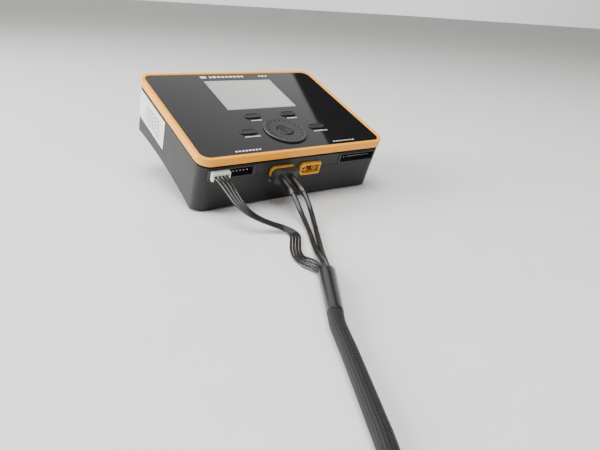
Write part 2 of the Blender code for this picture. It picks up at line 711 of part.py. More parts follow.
def balance_sockets(body):
    front = FRONT - BALANCE_PROUD
    floor = front + BALANCE_DEPTH
    for side, name in ((-1, "left"), (1, "right")):

        def housing(bm, side=side):
            loops = [((0.0, 0.0), floor), ((0.0, 0.0), front), ((BALANCE_END_WALL, BALANCE_WALL), front),
                     ((BALANCE_END_WALL, BALANCE_WALL), floor + BALANCE_BACK)]
            loft(bm, [[(x, y, z) for x, z in balance_slot(side, *grow)] for grow, y in loops])

        make(f"balance_socket_{name}", housing, "black_nylon", body)


def input_socket(body):
    back = HALF_DEPTH + INPUT_PROUD
    flange = HALF_DEPTH - CASE_WALL - FIT

    def housing(bm):
        loops = [(0.0, back), (0.0, flange), (INPUT_FLANGE, flange), (INPUT_FLANGE, flange - 0.0015),
                 (0.0, flange - 0.0015), (0.0, back - INPUT_LENGTH)]
        loft(bm, [[(x, y, z) for x, z in input_outline(grow)] for grow, y in loops])

    def bores(bm):
        for side in (-1, 1):
            hole = circle(INPUT_HOLE_RADIUS, 16, (side * INPUT_HOLE_SPREAD / 2, INPUT_HEIGHT))
            prism(bm, hole, back - INPUT_LENGTH - 0.001, back + 0.001, "xz")

    cut(make("input_socket", housing, "amber_nylon", body), tool("input_bores", bores, body))


def status_light(body):
    front = FRONT - FIT

    def lens(bm):
        prism(bm, circle(LED_RADIUS, 12, (LED_X, LED_HEIGHT)), front, front + LED_LENGTH, "xz")

    make("status_light", lens, "led_lens", body, smooth=True)


# ---- Inside ----
def main_board(body):
    def board(bm):
        box(bm, -MAIN_BOARD_HALF, MAIN_BOARD_HALF, MAIN_BOARD_FRONT, MAIN_BOARD_BACK, MAIN_BOARD_LOW,
            MAIN_BOARD_TOP)

    def front_board(bm):
        box(bm, -CONNECTOR_BOARD_HALF, CONNECTOR_BOARD_HALF, CONNECTOR_BOARD_FRONT, CONNECTOR_BOARD_BACK,
            CONNECTOR_BOARD_LOW, CONNECTOR_BOARD_LOW + BOARD_THICK)

    def boss_holes(bm):
        low, high = CONNECTOR_BOARD_LOW - 0.001, CONNECTOR_BOARD_LOW + BOARD_THICK + 0.001
        for x, y in BOSS_PLACES.values():
            half = BOSS_RADIUS + 2 * FIT
            box(bm, x - half, x + half, y - half, CONNECTOR_BOARD_BACK + 0.001 if y < 0 else y + half, low,
                high)

    make("main_board", board, "board_green", body)
    cut(make("connector_board", front_board, "board_green", body), tool("board_notches", boss_holes, body))


def heat_sink(body):
    low = MAIN_BOARD_TOP + FIT
    top = low + HEAT_SINK_HEIGHT
    web = low + HEAT_SINK_BASE
    pitch = (2 * HEAT_SINK_HALF - HEAT_SINK_FIN) / (HEAT_SINK_FINS - 1)
    outline = [(HEAT_SINK_HALF, low)]
    for i in reversed(range(HEAT_SINK_FINS)):
        left = -HEAT_SINK_HALF + i * pitch
        right = left + HEAT_SINK_FIN
        outline += [(right, web), (right, top), (left, top), (left, web)]
    outline[1:2] = []
    outline[-1:] = [(-HEAT_SINK_HALF, low)]

    def fins(bm):
        prism(bm, outline, MAIN_BOARD_FRONT + FIT, MAIN_BOARD_BACK - 2 * RAIL_THICK, "xz")

    make("heat_sink", fins, "heat_sink_metal", body)


def power_parts(body):
    low = MAIN_BOARD_TOP + FIT
    for side, name in ((-1, "left"), (1, "right")):
        top = CAPACITOR_HEIGHT
        can = [(CAPACITOR_RADIUS, 0), (CAPACITOR_RADIUS, 0.0018), (CAPACITOR_RADIUS - 0.0004, 0.0024),
               (CAPACITOR_RADIUS, 0.0030), (CAPACITOR_RADIUS, top - 0.0006), (CAPACITOR_RADIUS - 0.0006, top)]
        make(f"capacitor_{name}", lambda bm, can=can: turned(bm, can, 20), "capacitor_can", body,
             (side * CAPACITOR_X, CAPACITOR_Y, low), True)


def fans(body):
    low = BASE_TOP + FIT
    hub_low = FAN_STRUT_THICK + FIT
    shaft_top = FAN_THICK - 0.0040

    def frame(bm):
        outline = rounded(FAN_SIZE, FAN_SIZE, FAN_CORNER, steps=3)
        prism(bm, outline, 0, FAN_THICK)

    def duct(bm):
        prism(bm, circle(FAN_DUCT_RADIUS, 32), -0.001, FAN_THICK + 0.001)

    def spider(bm):
        prism(bm, circle(FAN_HUB_RADIUS, 24), 0, FAN_STRUT_THICK)

    def arm_across(bm):
        reach = FAN_DUCT_RADIUS + 0.0005
        box(bm, -reach, reach, -FAN_STRUT / 2, FAN_STRUT / 2, 0.0001, FAN_STRUT_THICK - 0.0001)

    def arm_along(bm):
        reach = FAN_DUCT_RADIUS + 0.0005
        box(bm, -FAN_STRUT / 2, FAN_STRUT / 2, -reach, reach, 0.0001, FAN_STRUT_THICK - 0.0001)

    def shaft(bm):
        prism(bm, circle(FAN_SHAFT_RADIUS, 16), 0.0005, shaft_top)

    def rotor(bm):
        """The hub with its swept blades, in one outline."""
        outline = []
        for i in range(FAN_BLADES):
            root = math.tau * i / FAN_BLADES
            sweep, wide, narrow = 0.35, 0.14, 0.10
            for radius, angle in ((FAN_HUB_RADIUS, root - wide),
                                  (0.75 * FAN_TIP_RADIUS, root + 0.5 * sweep - narrow),
                                  (FAN_TIP_RADIUS, root + sweep - narrow),
                                  (FAN_TIP_RADIUS, root + sweep + narrow),
                                  (0.75 * FAN_TIP_RADIUS, root + 0.5 * sweep + narrow),
                                  (FAN_HUB_RADIUS, root + wide),
                                  (FAN_HUB_RADIUS, root + math.pi / FAN_BLADES)):
                outline.append((radius * math.cos(angle), radius * math.sin(angle)))
        prism(bm, outline, hub_low, FAN_THICK - 0.0008)

    def rotor_bore(bm):
        prism(bm, circle(FAN_SHAFT_RADIUS + FIT, 16), hub_low - 0.001, shaft_top + FIT)

    for side, name in ((-1, "left"), (1, "right")):
        place = (side * FAN_X, FAN_Y, low)
        housing = make(f"fan_frame_{name}", frame, "black_nylon", body, place)
        cut(housing, tool(f"fan_duct_{name}", duct, body, place))
        join(housing, tool(f"fan_spider_{name}", spider, body, place),
             tool(f"fan_arm_x_{name}", arm_across, body, place),
             tool(f"fan_arm_y_{name}", arm_along, body, place), tool(f"fan_shaft_{name}", shaft, body, place))
        blades = make(f"fan_rotor_{name}", rotor, "black_nylon", body, place)
        cut(blades, tool(f"rotor_bore_{name}", rotor_bore, body, place))


def screws(body):
    top = BASE_HEIGHT - FIT
    for name, (x, y) in BOSS_PLACES.items():
        def shape(bm):
            head = SCREW_HEAD_RADIUS
            low = top - SCREW_HEAD_THICK
            profile = [(head - 0.0006, low), (head - 0.0001, low + 0.0005), (head, top), (SCREW_RADIUS, top),
                       (SCREW_RADIUS, top + SCREW_LENGTH - 0.0006), (0.4 * SCREW_RADIUS, top + SCREW_LENGTH)]
            turned(bm, profile, 16)

        def socket(bm):
            low = top - SCREW_HEAD_THICK
            prism(bm, circle(SCREW_SOCKET_RADIUS, 6), low - 0.001, low + SCREW_SOCKET_DEPTH)

        cut(make(f"case_screw_{name}", shape, "screw_steel", body, (x, y, 0), True),
            tool(f"screw_socket_{name}", socket, body, (x, y, 0)))


# ---- Label, feet and stand ----
def side_label(body):
    """A blank label on the left wall, which runs on round the back corner."""
    centre = (-HALF_WIDTH + CASE_RADIUS, HALF_DEPTH - CASE_RADIUS)

    def line(offset):
        radius = CASE_RADIUS + offset
        bend = [math.pi - LABEL_WRAP * i / 6 for i in range(7)]
        curve = [(centre[0] + radius * math.cos(a), centre[1] + radius * math.sin(a)) for a in bend]
        return [(-HALF_WIDTH - offset, LABEL_START_Y)] + curve

    def build(bm):
        outline = line(LABEL_GAP) + line(LABEL_GAP + LABEL_THICK)[::-1]
        prism(bm, outline, LABEL_LOW, LABEL_HIGH)

    make("side_label", build, "label_paper", body)


def feet(body):
    top = BASE_HEIGHT - FIT
    front = FRONT + CASE_WALL + FOOT_INSET
    back = -front - FOOT_LENGTH
    toe = (FOOT_EDGE_Y - front) * math.tan(TILT)
    shapes = {
        "front": [(front, toe), (FOOT_EDGE_Y, 0.0), (front + FOOT_LENGTH, 0.0), (front + FOOT_LENGTH, top),
                  (front, top)],
        "back": rectangle(back, back + FOOT_LENGTH, 0.0, top),
    }
    for end, outline in shapes.items():
        for side, name in ((-1, "left"), (1, "right")):
            middle = side * FOOT_X
            make(f"foot_{end}_{name}",
                 lambda bm, outline=outline, m=middle: prism(bm, outline, m - FOOT_WIDTH / 2,
                                                             m + FOOT_WIDTH / 2, "yz"),
                 "rubber", body)


def kickstand(body):
    """The fold-out stand and its rubber pad. Their origin is on the hinge line, and the stand is out."""
    place = (0, STAND_Y, STAND_AXIS_HEIGHT)
    half = STAND_THICK / 2
    barrel = STAND_BARREL_RADIUS
    round_front = [(barrel * math.cos(a), barrel * math.sin(a)) for a in
                   [math.pi - math.pi / 2 * i / 5 for i in range(6)]]
    # The square corner at the back meets the floor plate and stops the stand.
    profile = [(-half, -STAND_LENGTH), (-half, -barrel)] + round_front + [(barrel, barrel), (barrel, -barrel),
                                                                          (half, -1.5 * barrel), (half, -STAND_LENGTH)]
    ground = (STAND_Y * SIN + STAND_AXIS_HEIGHT * COS + BODY_SHIFT.z) / COS
    pad_top = -STAND_LENGTH - FIT
    pad = PAD_THICK / 2
    slope = math.tan(TILT)

    def flap(bm):
        prism(bm, profile, -STAND_WIDTH / 2, STAND_WIDTH / 2, "yz")

    def pins(bm):
        reach = STAND_WIDTH / 2 + STAND_SIDE_GAP + STAND_LUG_WIDTH
        prism(bm, circle(STAND_PIN_RADIUS, 16), -reach, reach, "yz")

    def foot(bm):
        outline = [(-pad, pad_top), (-pad, -ground + pad * slope), (pad, -ground - pad * slope),
                   (pad, pad_top)]
        prism(bm, outline, -STAND_WIDTH / 2 + PAD_INSET, STAND_WIDTH / 2 - PAD_INSET, "yz")

    join(make("kickstand", flap, "shell_plastic", body, place), tool("stand_pins", pins, body, place))
    make("kickstand_pad", foot, "rubber", body, place)


# ---- The charge lead ----
def through(points, step):
    """Points about step apart on a smooth curve through the route's own points."""
    route = [Vector(p) for p in points]
    padded = [2 * route[0] - route[1]] + route + [2 * route[-1] - route[-2]]
    dense = []
    for before, start, end, after in zip(padded, padded[1:], padded[2:], padded[3:]):
        for i in range(20):
            t = i / 20
            dense.append(0.5 * (2 * start + (end - before) * t + (2 * before - 5 * start + 4 * end - after) * t * t
                                + (3 * start - before - 3 * end + after) * t**3))
    dense.append(route[-1])
    along = [0.0]
    for a, b in zip(dense, dense[1:]):
        along.append(along[-1] + (b - a).length)
    count = max(2, round(along[-1] / step))
    found, i = [], 0
    for k in range(count + 1):
        goal = along[-1] * k / count
        while i < len(along) - 2 and along[i + 1] < goal:
            i += 1
        share = (goal - along[i]) / (along[i + 1] - along[i])
        found.append(dense[i].lerp(dense[i + 1], min(1.0, share)))
    return found


def tube(name, points, radius, slot, step, resolution=2):
    curve = bpy.data.curves.new(name, "CURVE")
    curve.dimensions = "3D"
    curve.bevel_depth = radius
    curve.bevel_resolution = resolution
    curve.use_fill_caps = True
    line = through(points, step)
    spline = curve.splines.new("POLY")
    spline.points.add(len(line) - 1)
    for point, place in zip(spline.points, line):
        point.co = (*place, 1.0)
    curve.materials.append(finish(slot, *FINISHES[slot]))
    part = bpy.data.objects.new(name, curve)
    bpy.context.scene.collection.objects.link(part)
    return part


MM = 0.001
# Each row: the middle of the four balance wires, their pitch, and how their row leans and turns.
BALANCE_ROUTE = [
    (-59.15, -57.98, 25.56, 2.5, 0, 0), (-59.15, -61.8, 24.22, 2.5, 0, 0), (-59.15, -66.0, 22.7, 2.4, 0, 0),
    (-59.3, -72.5, 19.9, 2.1, 0, 2), (-58.6, -80.0, 15.8, 1.9, 0, 12), (-55.6, -86.0, 11.8, 1.8, 0, 32),
    (-50.4, -90.3, 8.4, 1.75, 0, 52), (-43.8, -93.0, 5.2, 1.75, 0, 58), (-38.4, -95.4, 3.0, 1.75, 0, 42),
    (-35.2, -99.6, 1.5, 1.75, 0, 8), (-35.7, -105.6, 0.9, 1.75, 0, -22), (-40.0, -112.6, 0.85, 1.75, 0, -32),
    (-45.6, -121.0, 0.85, 1.75, 0, -30), (-49.8, -130.0, 1.1, 1.75, 5, -18),
    (-51.6, -138.5, 2.4, 1.7, 35, -8),
    (-51.7, -146.0, 3.6, 1.6, 70, -14), (-52.45, -151.9, 4.4, 1.6, 90, -31),
    (-53.65, -154.05, 4.4, 1.6, 90, -31),
]
POWER_ROUTES = {
    "power_wire_outer": [
        (-17.55, -61.12, 20.22), (-17.55, -65.84, 18.57), (-17.6, -70.0, 17.0), (-17.9, -75.5, 14.2),
        (-18.4, -81.5, 10.2), (-19.6, -88.5, 5.9), (-22.9, -99.5, 2.3), (-28.1, -110.5, 1.75),
        (-33.8, -121.5, 1.75),
        (-40.1, -133.5, 2.7), (-45.9, -145.5, 4.6), (-49.5, -152.2, 5.9), (-51.4, -155.35, 5.9),
    ],
    "power_wire_inner": [
        (-9.65, -61.12, 20.22), (-9.65, -65.84, 18.57), (-9.6, -70.0, 17.0), (-9.5, -75.5, 14.2),
        (-10.3, -81.5, 10.2), (-12.3, -88.5, 5.9), (-17.2, -99.5, 2.3), (-22.8, -109.5, 1.75),
        (-28.8, -120.1, 1.75),
        (-35.4, -131.6, 1.75), (-41.7, -143.4, 2.1), (-47.1, -153.7, 3.0), (-49.0, -156.85, 3.0),
    ],
}
COLLAR_START = Vector((-50.8, -156.1, 4.4)) * MM
COLLAR_END = Vector((-71.2, -189.5, 4.4)) * MM
SLEEVE_ROUTE = [
    (-71.36, -189.76, 4.4), (-74.9, -195.6, 4.1), (-78.2, -203.0, 3.8), (-82.6, -213.0, 3.7),
    (-90.6, -230.0, 3.7),
    (-97.0, -243.5, 3.7), (-103.8, -257.4, 3.7), (-112.0, -270.0, 3.7), (-123.0, -279.8, 3.7),
    (-136.5, -285.2, 3.7), (-151.5, -284.8, 3.8), (-163.5, -279.2, 4.1), (-170.4, -274.7, 4.4),
    (-176.0, -270.5, 4.4),
]
FAR_END = Vector((-176.24, -270.32, 4.4)) * MM
FAR_TURN = math.atan2(0.6, -0.8)
# The battery's balance lead, seen from the far end: ahead, to the left, and height above the far end.
FAR_BALANCE_ROUTE = [(8.0, 8.3, 0.0), (10.3, 10.23, 0.0), (14.5, 13.2, -1.0), (20.0, 15.6, -2.4),
                     (27.0, 16.8, -2.8),
                     (33.0, 16.6, -2.2), (37.06, 15.89, -1.5), (41.0, 15.2, -1.5)]
FAR_PLUG_TURN = math.atan2(-0.69, 3.94)


def front_plugs(body):
    """The balance plug and the power plug, each in its socket."""
    slot_floor = FRONT - BALANCE_PROUD + BALANCE_DEPTH
    socket_floor = FRONT - OUTPUT_PROUD + OUTPUT_DEPTH
    socket_front = FRONT - OUTPUT_PROUD
    outer_end = -BALANCE_SLOT_START - BALANCE_SLOT_WIDTH

    def small_plug(bm):
        left = outer_end + FIT
        low = BALANCE_HEIGHT - BALANCE_SLOT_TALL / 2 + FIT
        high = BALANCE_HEIGHT + BALANCE_SLOT_TALL / 2 - FIT
        box(bm, left, left + BALANCE_PLUG_WIDTH, FRONT - BALANCE_PLUG_PROUD, slot_floor - FIT, low, high)

    def large_plug(bm):
        x = OUTPUT_LEFT_X
        nose = output_outline(x, -OUTPUT_WALL - FIT)
        grip = keyed(POWER_PLUG_BODY_WIDTH, POWER_PLUG_BODY_TALL, OUTPUT_CHAMFER, (x, OUTPUT_HEIGHT))
        shoulder = socket_front - FIT
        rows = [(nose, socket_floor - FIT), (nose, shoulder), (grip, shoulder),
                (grip, shoulder - POWER_PLUG_BODY)]
        loft(bm, [[(px, y, pz) for px, pz in outline] for outline, y in rows])

    def bullet_bores(bm):
        for side in (-1, 1):
            x = OUTPUT_LEFT_X + side * PIN_SPREAD / 2
            hole = circle(PIN_RADIUS + PIN_CLEARANCE, 16, (x, OUTPUT_HEIGHT))
            prism(bm, hole, socket_front + PIN_RECESS - FIT, socket_floor + 0.001, "xz")

    make("balance_plug", small_plug, "white_nylon", body)
    cut(make("power_plug", large_plug, "black_nylon", body), tool("bullet_bores", bullet_bores, body))


def anchored(points, start, reach=8):
    """The route with its start moved to the plug, and each later point moved less, up to the one at reach."""
    shift = BODY @ Vector(start) - points[0]
    return [point + shift * max(0.0, 1 - i / reach) for i, point in enumerate(points)]


def lead():
    row_x = -BALANCE_SLOT_START - BALANCE_SLOT_WIDTH + FIT + BALANCE_PLUG_WIDTH / 2
    for i in range(BALANCE_WIRES):
        step = i - (BALANCE_WIRES - 1) / 2
        points = []
        for x, y, z, pitch, lean, turn in BALANCE_ROUTE:
            level = step * pitch * math.cos(math.radians(lean))
            a = math.radians(turn)
            rise = step * pitch * math.sin(math.radians(lean))
            points.append(Vector((x + level * math.cos(a), y + level * math.sin(a), z + rise)) * MM)
        x = row_x + step * BALANCE_PITCH
        points = anchored(points, (x, FRONT - BALANCE_PLUG_PROUD - FIT, BALANCE_HEIGHT))
        tube(f"balance_wire_{i + 1}", points, BALANCE_WIRE_RADIUS, "silicone", 5.0 * BALANCE_WIRE_RADIUS)
    plug_front = FRONT - OUTPUT_PROUD - 2 * FIT - POWER_PLUG_BODY
    for side, (name, route) in zip((-1, 1), POWER_ROUTES.items()):
        x = OUTPUT_LEFT_X + side * PIN_SPREAD / 2
        points = anchored([Vector(p) * MM for p in route], (x, plug_front, OUTPUT_HEIGHT))
        tube(name, points, POWER_WIRE_RADIUS, "silicone", 4.0 * POWER_WIRE_RADIUS)
    sleeve = [Vector(p) * MM for p in SLEEVE_ROUTE]
    tube("lead_sleeve", sleeve, SLEEVE_RADIUS, "braid", 4.0 * SLEEVE_RADIUS, 3)
    collar()
    far_end()


def collar():
    """The heat-shrunk joint where six wires go into the sleeve: flat at first, then round."""
    way = (COLLAR_END - COLLAR_START).normalized()
    across = Vector((-way.y, way.x, 0.0)).normalized()
    # share of the length, width, height, corner radius
    shape = [(0.0, 0.94, 0.94, 0.30), (0.02, 1.0, 1.0, 0.33), (0.30, 0.98, 1.0, 0.36),
             (0.55, 0.90, 0.98, 0.44),
             (0.80, 0.86, 0.96, 0.47), (0.98, 0.84, 0.94, 0.49), (1.0, 0.80, 0.90, 0.49)]

    def build(bm):
        loops = []
        for share, wide, tall, soft in shape:
            width, height = wide * COLLAR_WIDTH, tall * COLLAR_TALL
            middle = COLLAR_START.lerp(COLLAR_END, share) + across * (COLLAR_SHIFT * (1 - share))
            outline = rounded(width, height, soft * min(width, height), steps=3)
            loops.append([middle + across * u + Vector((0, 0, v)) for u, v in outline])
        loft(bm, loops)

    make("lead_collar", build, "heat_shrink", smooth=True)


def far_end():
    """The battery's end of the lead: a shrunk boot, the power connector, and a balance lead with its plug."""
    turn = Matrix.Rotation(FAR_TURN, 4, "Z")
    route = [FAR_END + turn @ (Vector(p) * MM) for p in FAR_BALANCE_ROUTE]
    plug_half = BALANCE_SLOT_TALL / 2 - FIT
    for point in route[-2:]:
        point.z = plug_half + FLOOR_GAP

    def boot(bm):
        shape = [(0.0, 0.0037, 0.0037), (0.0010, 0.0042, 0.0041), (0.0100, 0.0066, 0.0042),
                 (0.0180, 0.0084, 0.0041)]
        loft(bm, [[(length, u * wide, v * tall) for u, v in circle(1.0, 16)] for length, wide, tall in shape])

    def connector(bm):
        outline = keyed(FAR_POWER_WIDTH, FAR_POWER_TALL, OUTPUT_CHAMFER, (-0.0008, 0.0))
        prism(bm, outline, 0.0183, 0.0343, "yz")

    def small_plug(bm):
        half = BALANCE_PLUG_WIDTH / 2
        box(bm, FIT, FIT + FAR_PLUG_LENGTH, -half, half, -plug_half, plug_half)

    cover = make("far_boot", boot, "heat_shrink", None, FAR_END, True)
    plug = make("far_power_plug", connector, "amber_nylon", None, FAR_END)
    cover.rotation_euler = plug.rotation_euler = (0, 0, FAR_TURN)
    tube("far_balance_lead", route, FAR_LEAD_RADIUS, "silicone", 4.0 * FAR_LEAD_RADIUS)
    end = make("far_balance_plug", small_plug, "white_nylon", None, route[-1])
    end.rotation_euler = (0, 0, FAR_TURN + FAR_PLUG_TURN)


def build_charger():
    for old in list(bpy.data.objects):
        bpy.data.objects.remove(old)
    body = bpy.data.objects.new("body_frame", None)
    bpy.context.scene.collection.objects.link(body)
    body.location = BODY_SHIFT
    body.rotation_euler = (TILT, 0, 0)
    tool("front_windows", front_windows, body)
    lower_shell(body)
    upper_shell(body)
    bezel_ring(body)
    fascia_panel(body)
    display(body)
    jog_dial(body)
    dial_button(body)
    keys(body)
    control_board(body)
    output_sockets(body)
    balance_sockets(body)
    input_socket(body)
    status_light(body)
    main_board(body)
    heat_sink(body)
    power_parts(body)
    fans(body)
    screws(body)
    side_label(body)
    feet(body)
    kickstand(body)
    front_plugs(body)
    lead()


build_charger()
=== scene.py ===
"""The looks of the balance battery charger: finished shells, panel, dial, keys, sockets and charge lead."""

import json
import math

import bpy
from mathutils import Matrix, Vector


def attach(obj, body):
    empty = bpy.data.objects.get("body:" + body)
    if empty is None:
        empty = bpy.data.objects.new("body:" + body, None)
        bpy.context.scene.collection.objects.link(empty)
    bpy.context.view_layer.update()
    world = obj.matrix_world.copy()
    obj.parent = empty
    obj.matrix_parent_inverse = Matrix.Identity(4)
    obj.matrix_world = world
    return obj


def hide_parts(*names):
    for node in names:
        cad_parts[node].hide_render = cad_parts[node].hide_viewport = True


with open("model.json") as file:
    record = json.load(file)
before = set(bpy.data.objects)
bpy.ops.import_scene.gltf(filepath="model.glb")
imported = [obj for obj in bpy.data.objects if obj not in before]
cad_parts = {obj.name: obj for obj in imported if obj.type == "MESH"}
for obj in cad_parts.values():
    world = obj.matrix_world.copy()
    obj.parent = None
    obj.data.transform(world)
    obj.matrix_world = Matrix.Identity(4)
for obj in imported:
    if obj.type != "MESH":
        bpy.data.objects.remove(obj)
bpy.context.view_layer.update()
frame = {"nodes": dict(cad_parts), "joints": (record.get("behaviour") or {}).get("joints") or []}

bl_info = {
    "name": "Balance Battery Charger",
    "version": (1, 0, 0),
    "blender": (4, 5, 0),
    "location": "View3D > Sidebar > Charger",
    "description": "Builds the finished pieces of a balance battery charger on its packed frame",
    "category": "Object",
}

MM = 0.001

# ---- The case's own frame: level, with z = 0 at its feet ----
DIAL_Y = -0.0312
FACE = 0.0420  # the panel's face above the feet
DIAL_JOINT = next(j for j in frame["joints"] if j["name"] == "jog_dial_turn")
TILT = math.atan2(-DIAL_JOINT["axis"][1], DIAL_JOINT["axis"][2])
BODY = Matrix.Translation(DIAL_JOINT["pos_m"]) @ Matrix.Rotation(TILT, 4, "X")
BODY = BODY @ Matrix.Translation((0, -DIAL_Y, -FACE))
FRONT = -0.0549
OUTPUT_HEIGHT = 0.0268
OUTPUT_LEFT_X = -0.0136
OUTPUT_RIGHT_X = 0.0090
PIN_SPREAD = 0.0079
BALANCE_HEIGHT = 0.0308
SLOT_START = 0.0356
SLOT_WIDTH = 0.0300
KEYS = {
    "upper_left_key": (-0.0146, -0.0100),
    "upper_right_key": (0.0146, -0.0100),
    "lower_left_key": (-0.0276, -0.0290),
    "lower_right_key": (0.0276, -0.0290),
}
WINDOW_Y = 0.0214
BEZEL_WIDTH = 0.1464
BEZEL_DEPTH = 0.1112
BEZEL_LIP = 0.0027
BEZEL_SIDE = 0.0053
BEZEL_PROUD = 0.0004
BEZEL_CORNER = 0.0087
DIAL_RADIUS = 0.0155
DIAL_BORE = 0.0060
DIMPLES = 20
DIMPLE_CIRCLE = 0.0121  # radius of the ring that the dimples lie on
BUTTON_RADIUS = 0.0056
KEY_SIZE = (0.0120, 0.0056)
KEY_FLANGE = (0.0140, 0.0076, 0.0012)
KEY_PROUD = 0.0009
KEY_BELOW = 0.0038
FLANGE_BELOW = 0.0051
SOCKET_PROUD = 0.0023  # how far the power sockets stand out of the front
CONTACT_RECESS = 0.0015
CONTACT_BACK = 0.0138
BALANCE_PITCH = 0.0025
BALANCE_WIRES = 4
BALANCE_PLUG_WIDTH = 0.0123
BALANCE_PLUG_TALL = 0.0057
BALANCE_PLUG_PROUD = 0.0034
BALANCE_INNER_END = 0.0058  # where the pins and the fitted plug end behind the front
PIN_SIZE = 0.00064
PIN_INSET = 0.0035
PIN_START = 0.0012
FAR_BALANCE_WIRE = 0.0030

# ---- Print: plain bars on the panel ----
PRINT_THICK = 0.00006
PRINT_LIFT = 0.00002
MARK_ROUND = 0.3  # a bar's corner as a share of its smaller side
NAME_ROW_Y = 0.0484
EDGE_ROW_Y = -0.0492
EDGE_BARS = 8
EDGE_BAR_STEP = 0.0024
KEY_BAR_STEP = 0.0017
KEY_BAR_SHIFT = 0.0006
KEY_BAR_DROP = 0.0054
# Each bar of the name row: its middle, length and width.
NAME_ROW = [
    (-0.0262, 0.0048, 0.0032), (-0.0205, 0.0016, 0.0030), (-0.0172, 0.0030, 0.0030),
    (-0.0134, 0.0026, 0.0024),
    (-0.0100, 0.0026, 0.0024), (-0.0066, 0.0022, 0.0024), (-0.0034, 0.0026, 0.0024), (0.0000, 0.0026, 0.0024),
    (0.0034, 0.0026, 0.0024), (0.0066, 0.0020, 0.0024), (0.0222, 0.0018, 0.0020), (0.0250, 0.0022, 0.0020),
    (0.0280, 0.0018, 0.0020),
]

# ---- Routes of the lead, in millimetres: the same points as the frame's own tubes ----
# Each row: the middle of the four balance wires, their pitch, and how their row leans and turns.
BALANCE_ROUTE = [
    (-59.15, -57.98, 25.56, 2.5, 0, 0), (-59.15, -61.8, 24.22, 2.5, 0, 0), (-59.15, -66.0, 22.7, 2.4, 0, 0),
    (-59.3, -72.5, 19.9, 2.1, 0, 2), (-58.6, -80.0, 15.8, 1.9, 0, 12), (-55.6, -86.0, 11.8, 1.8, 0, 32),
    (-50.4, -90.3, 8.4, 1.75, 0, 52), (-43.8, -93.0, 5.2, 1.75, 0, 58), (-38.4, -95.4, 3.0, 1.75, 0, 42),
    (-35.2, -99.6, 1.5, 1.75, 0, 8), (-35.7, -105.6, 0.9, 1.75, 0, -22), (-40.0, -112.6, 0.85, 1.75, 0, -32),
    (-45.6, -121.0, 0.85, 1.75, 0, -30), (-49.8, -130.0, 1.1, 1.75, 5, -18),
    (-51.6, -138.5, 2.4, 1.7, 35, -8),
    (-51.7, -146.0, 3.6, 1.6, 70, -14), (-52.45, -151.9, 4.4, 1.6, 90, -31),
    (-53.65, -154.05, 4.4, 1.6, 90, -31),
]
POWER_ROUTES = {
    "outer": [
        (-17.55, -61.12, 20.22), (-17.55, -65.84, 18.57), (-17.6, -70.0, 17.0), (-17.9, -75.5, 14.2),
        (-18.4, -81.5, 10.2), (-19.6, -88.5, 5.9), (-22.9, -99.5, 2.3), (-28.1, -110.5, 1.75),
        (-33.8, -121.5, 1.75),
        (-40.1, -133.5, 2.7), (-45.9, -145.5, 4.6), (-49.5, -152.2, 5.9), (-51.4, -155.35, 5.9),
    ],
    "inner": [
        (-9.65, -61.12, 20.22), (-9.65, -65.84, 18.57), (-9.6, -70.0, 17.0), (-9.5, -75.5, 14.2),
        (-10.3, -81.5, 10.2), (-12.3, -88.5, 5.9), (-17.2, -99.5, 2.3), (-22.8, -109.5, 1.75),
        (-28.8, -120.1, 1.75),
        (-35.4, -131.6, 1.75), (-41.7, -143.4, 2.1), (-47.1, -153.7, 3.0), (-49.0, -156.85, 3.0),
    ],
}
COLLAR_START = Vector((-50.8, -156.1, 4.4)) * MM
COLLAR_END = Vector((-71.2, -189.5, 4.4)) * MM
SLEEVE_ROUTE = [
    (-71.36, -189.76, 4.4), (-74.9, -195.6, 4.1), (-78.2, -203.0, 3.8), (-82.6, -213.0, 3.7),
    (-90.6, -230.0, 3.7),
    (-97.0, -243.5, 3.7), (-103.8, -257.4, 3.7), (-112.0, -270.0, 3.7), (-123.0, -279.8, 3.7),
    (-136.5, -285.2, 3.7), (-151.5, -284.8, 3.8), (-163.5, -279.2, 4.1), (-170.4, -274.7, 4.4),
    (-176.0, -270.5, 4.4),
]
FAR_END = Vector((-176.24, -270.32, 4.4)) * MM
FAR_TURN = math.atan2(0.6, -0.8)
FAR_BALANCE_ROUTE = [(8.0, 8.3, 0.0), (10.3, 10.23, 0.0), (14.5, 13.2, -1.0), (20.0, 15.6, -2.4),
                     (27.0, 16.8, -2.8),
                     (33.0, 16.6, -2.2), (37.06, 15.89, -1.5), (41.0, 15.2, -1.5)]


# ---- Working with Blender's tools ----
def only(obj):
    """Deselects everything, then selects obj and makes it active."""
    bpy.ops.object.select_all(action="DESELECT")
    obj.select_set(True)
    bpy.context.view_layer.objects.active = obj


def added(name):
    """The primitive that an operator has just added, renamed."""
    obj = bpy.context.object
    obj.name = name
    only(obj)
    return obj


def settle(obj):
    only(obj)
    bpy.ops.object.transform_apply(location=True, rotation=True, scale=True)


def seat(obj):
    """Moves a piece made in the case's level frame to its place in the tipped case."""
    settle(obj)
    obj.matrix_world = BODY
    settle(obj)


def select_where(obj, kind, test):
    """In edit mode, selects the faces, edges or vertices for which test is true."""
    bpy.ops.mesh.select_mode(type=kind)
    bpy.ops.mesh.select_all(action="DESELECT")
    bpy.ops.object.mode_set(mode="OBJECT")
    group = {"FACE": obj.data.polygons, "EDGE": obj.data.edges, "VERT": obj.data.vertices}[kind]
    for item in group:
        item.select = test(item)
    bpy.ops.object.mode_set(mode="EDIT")


def upright(obj, axis=2):
    """A test for edges that run along one axis."""
    def test(edge):
        a, b = (obj.data.vertices[i].co for i in edge.vertices)
        return abs((b - a).normalized()[axis]) > 0.99
    return test


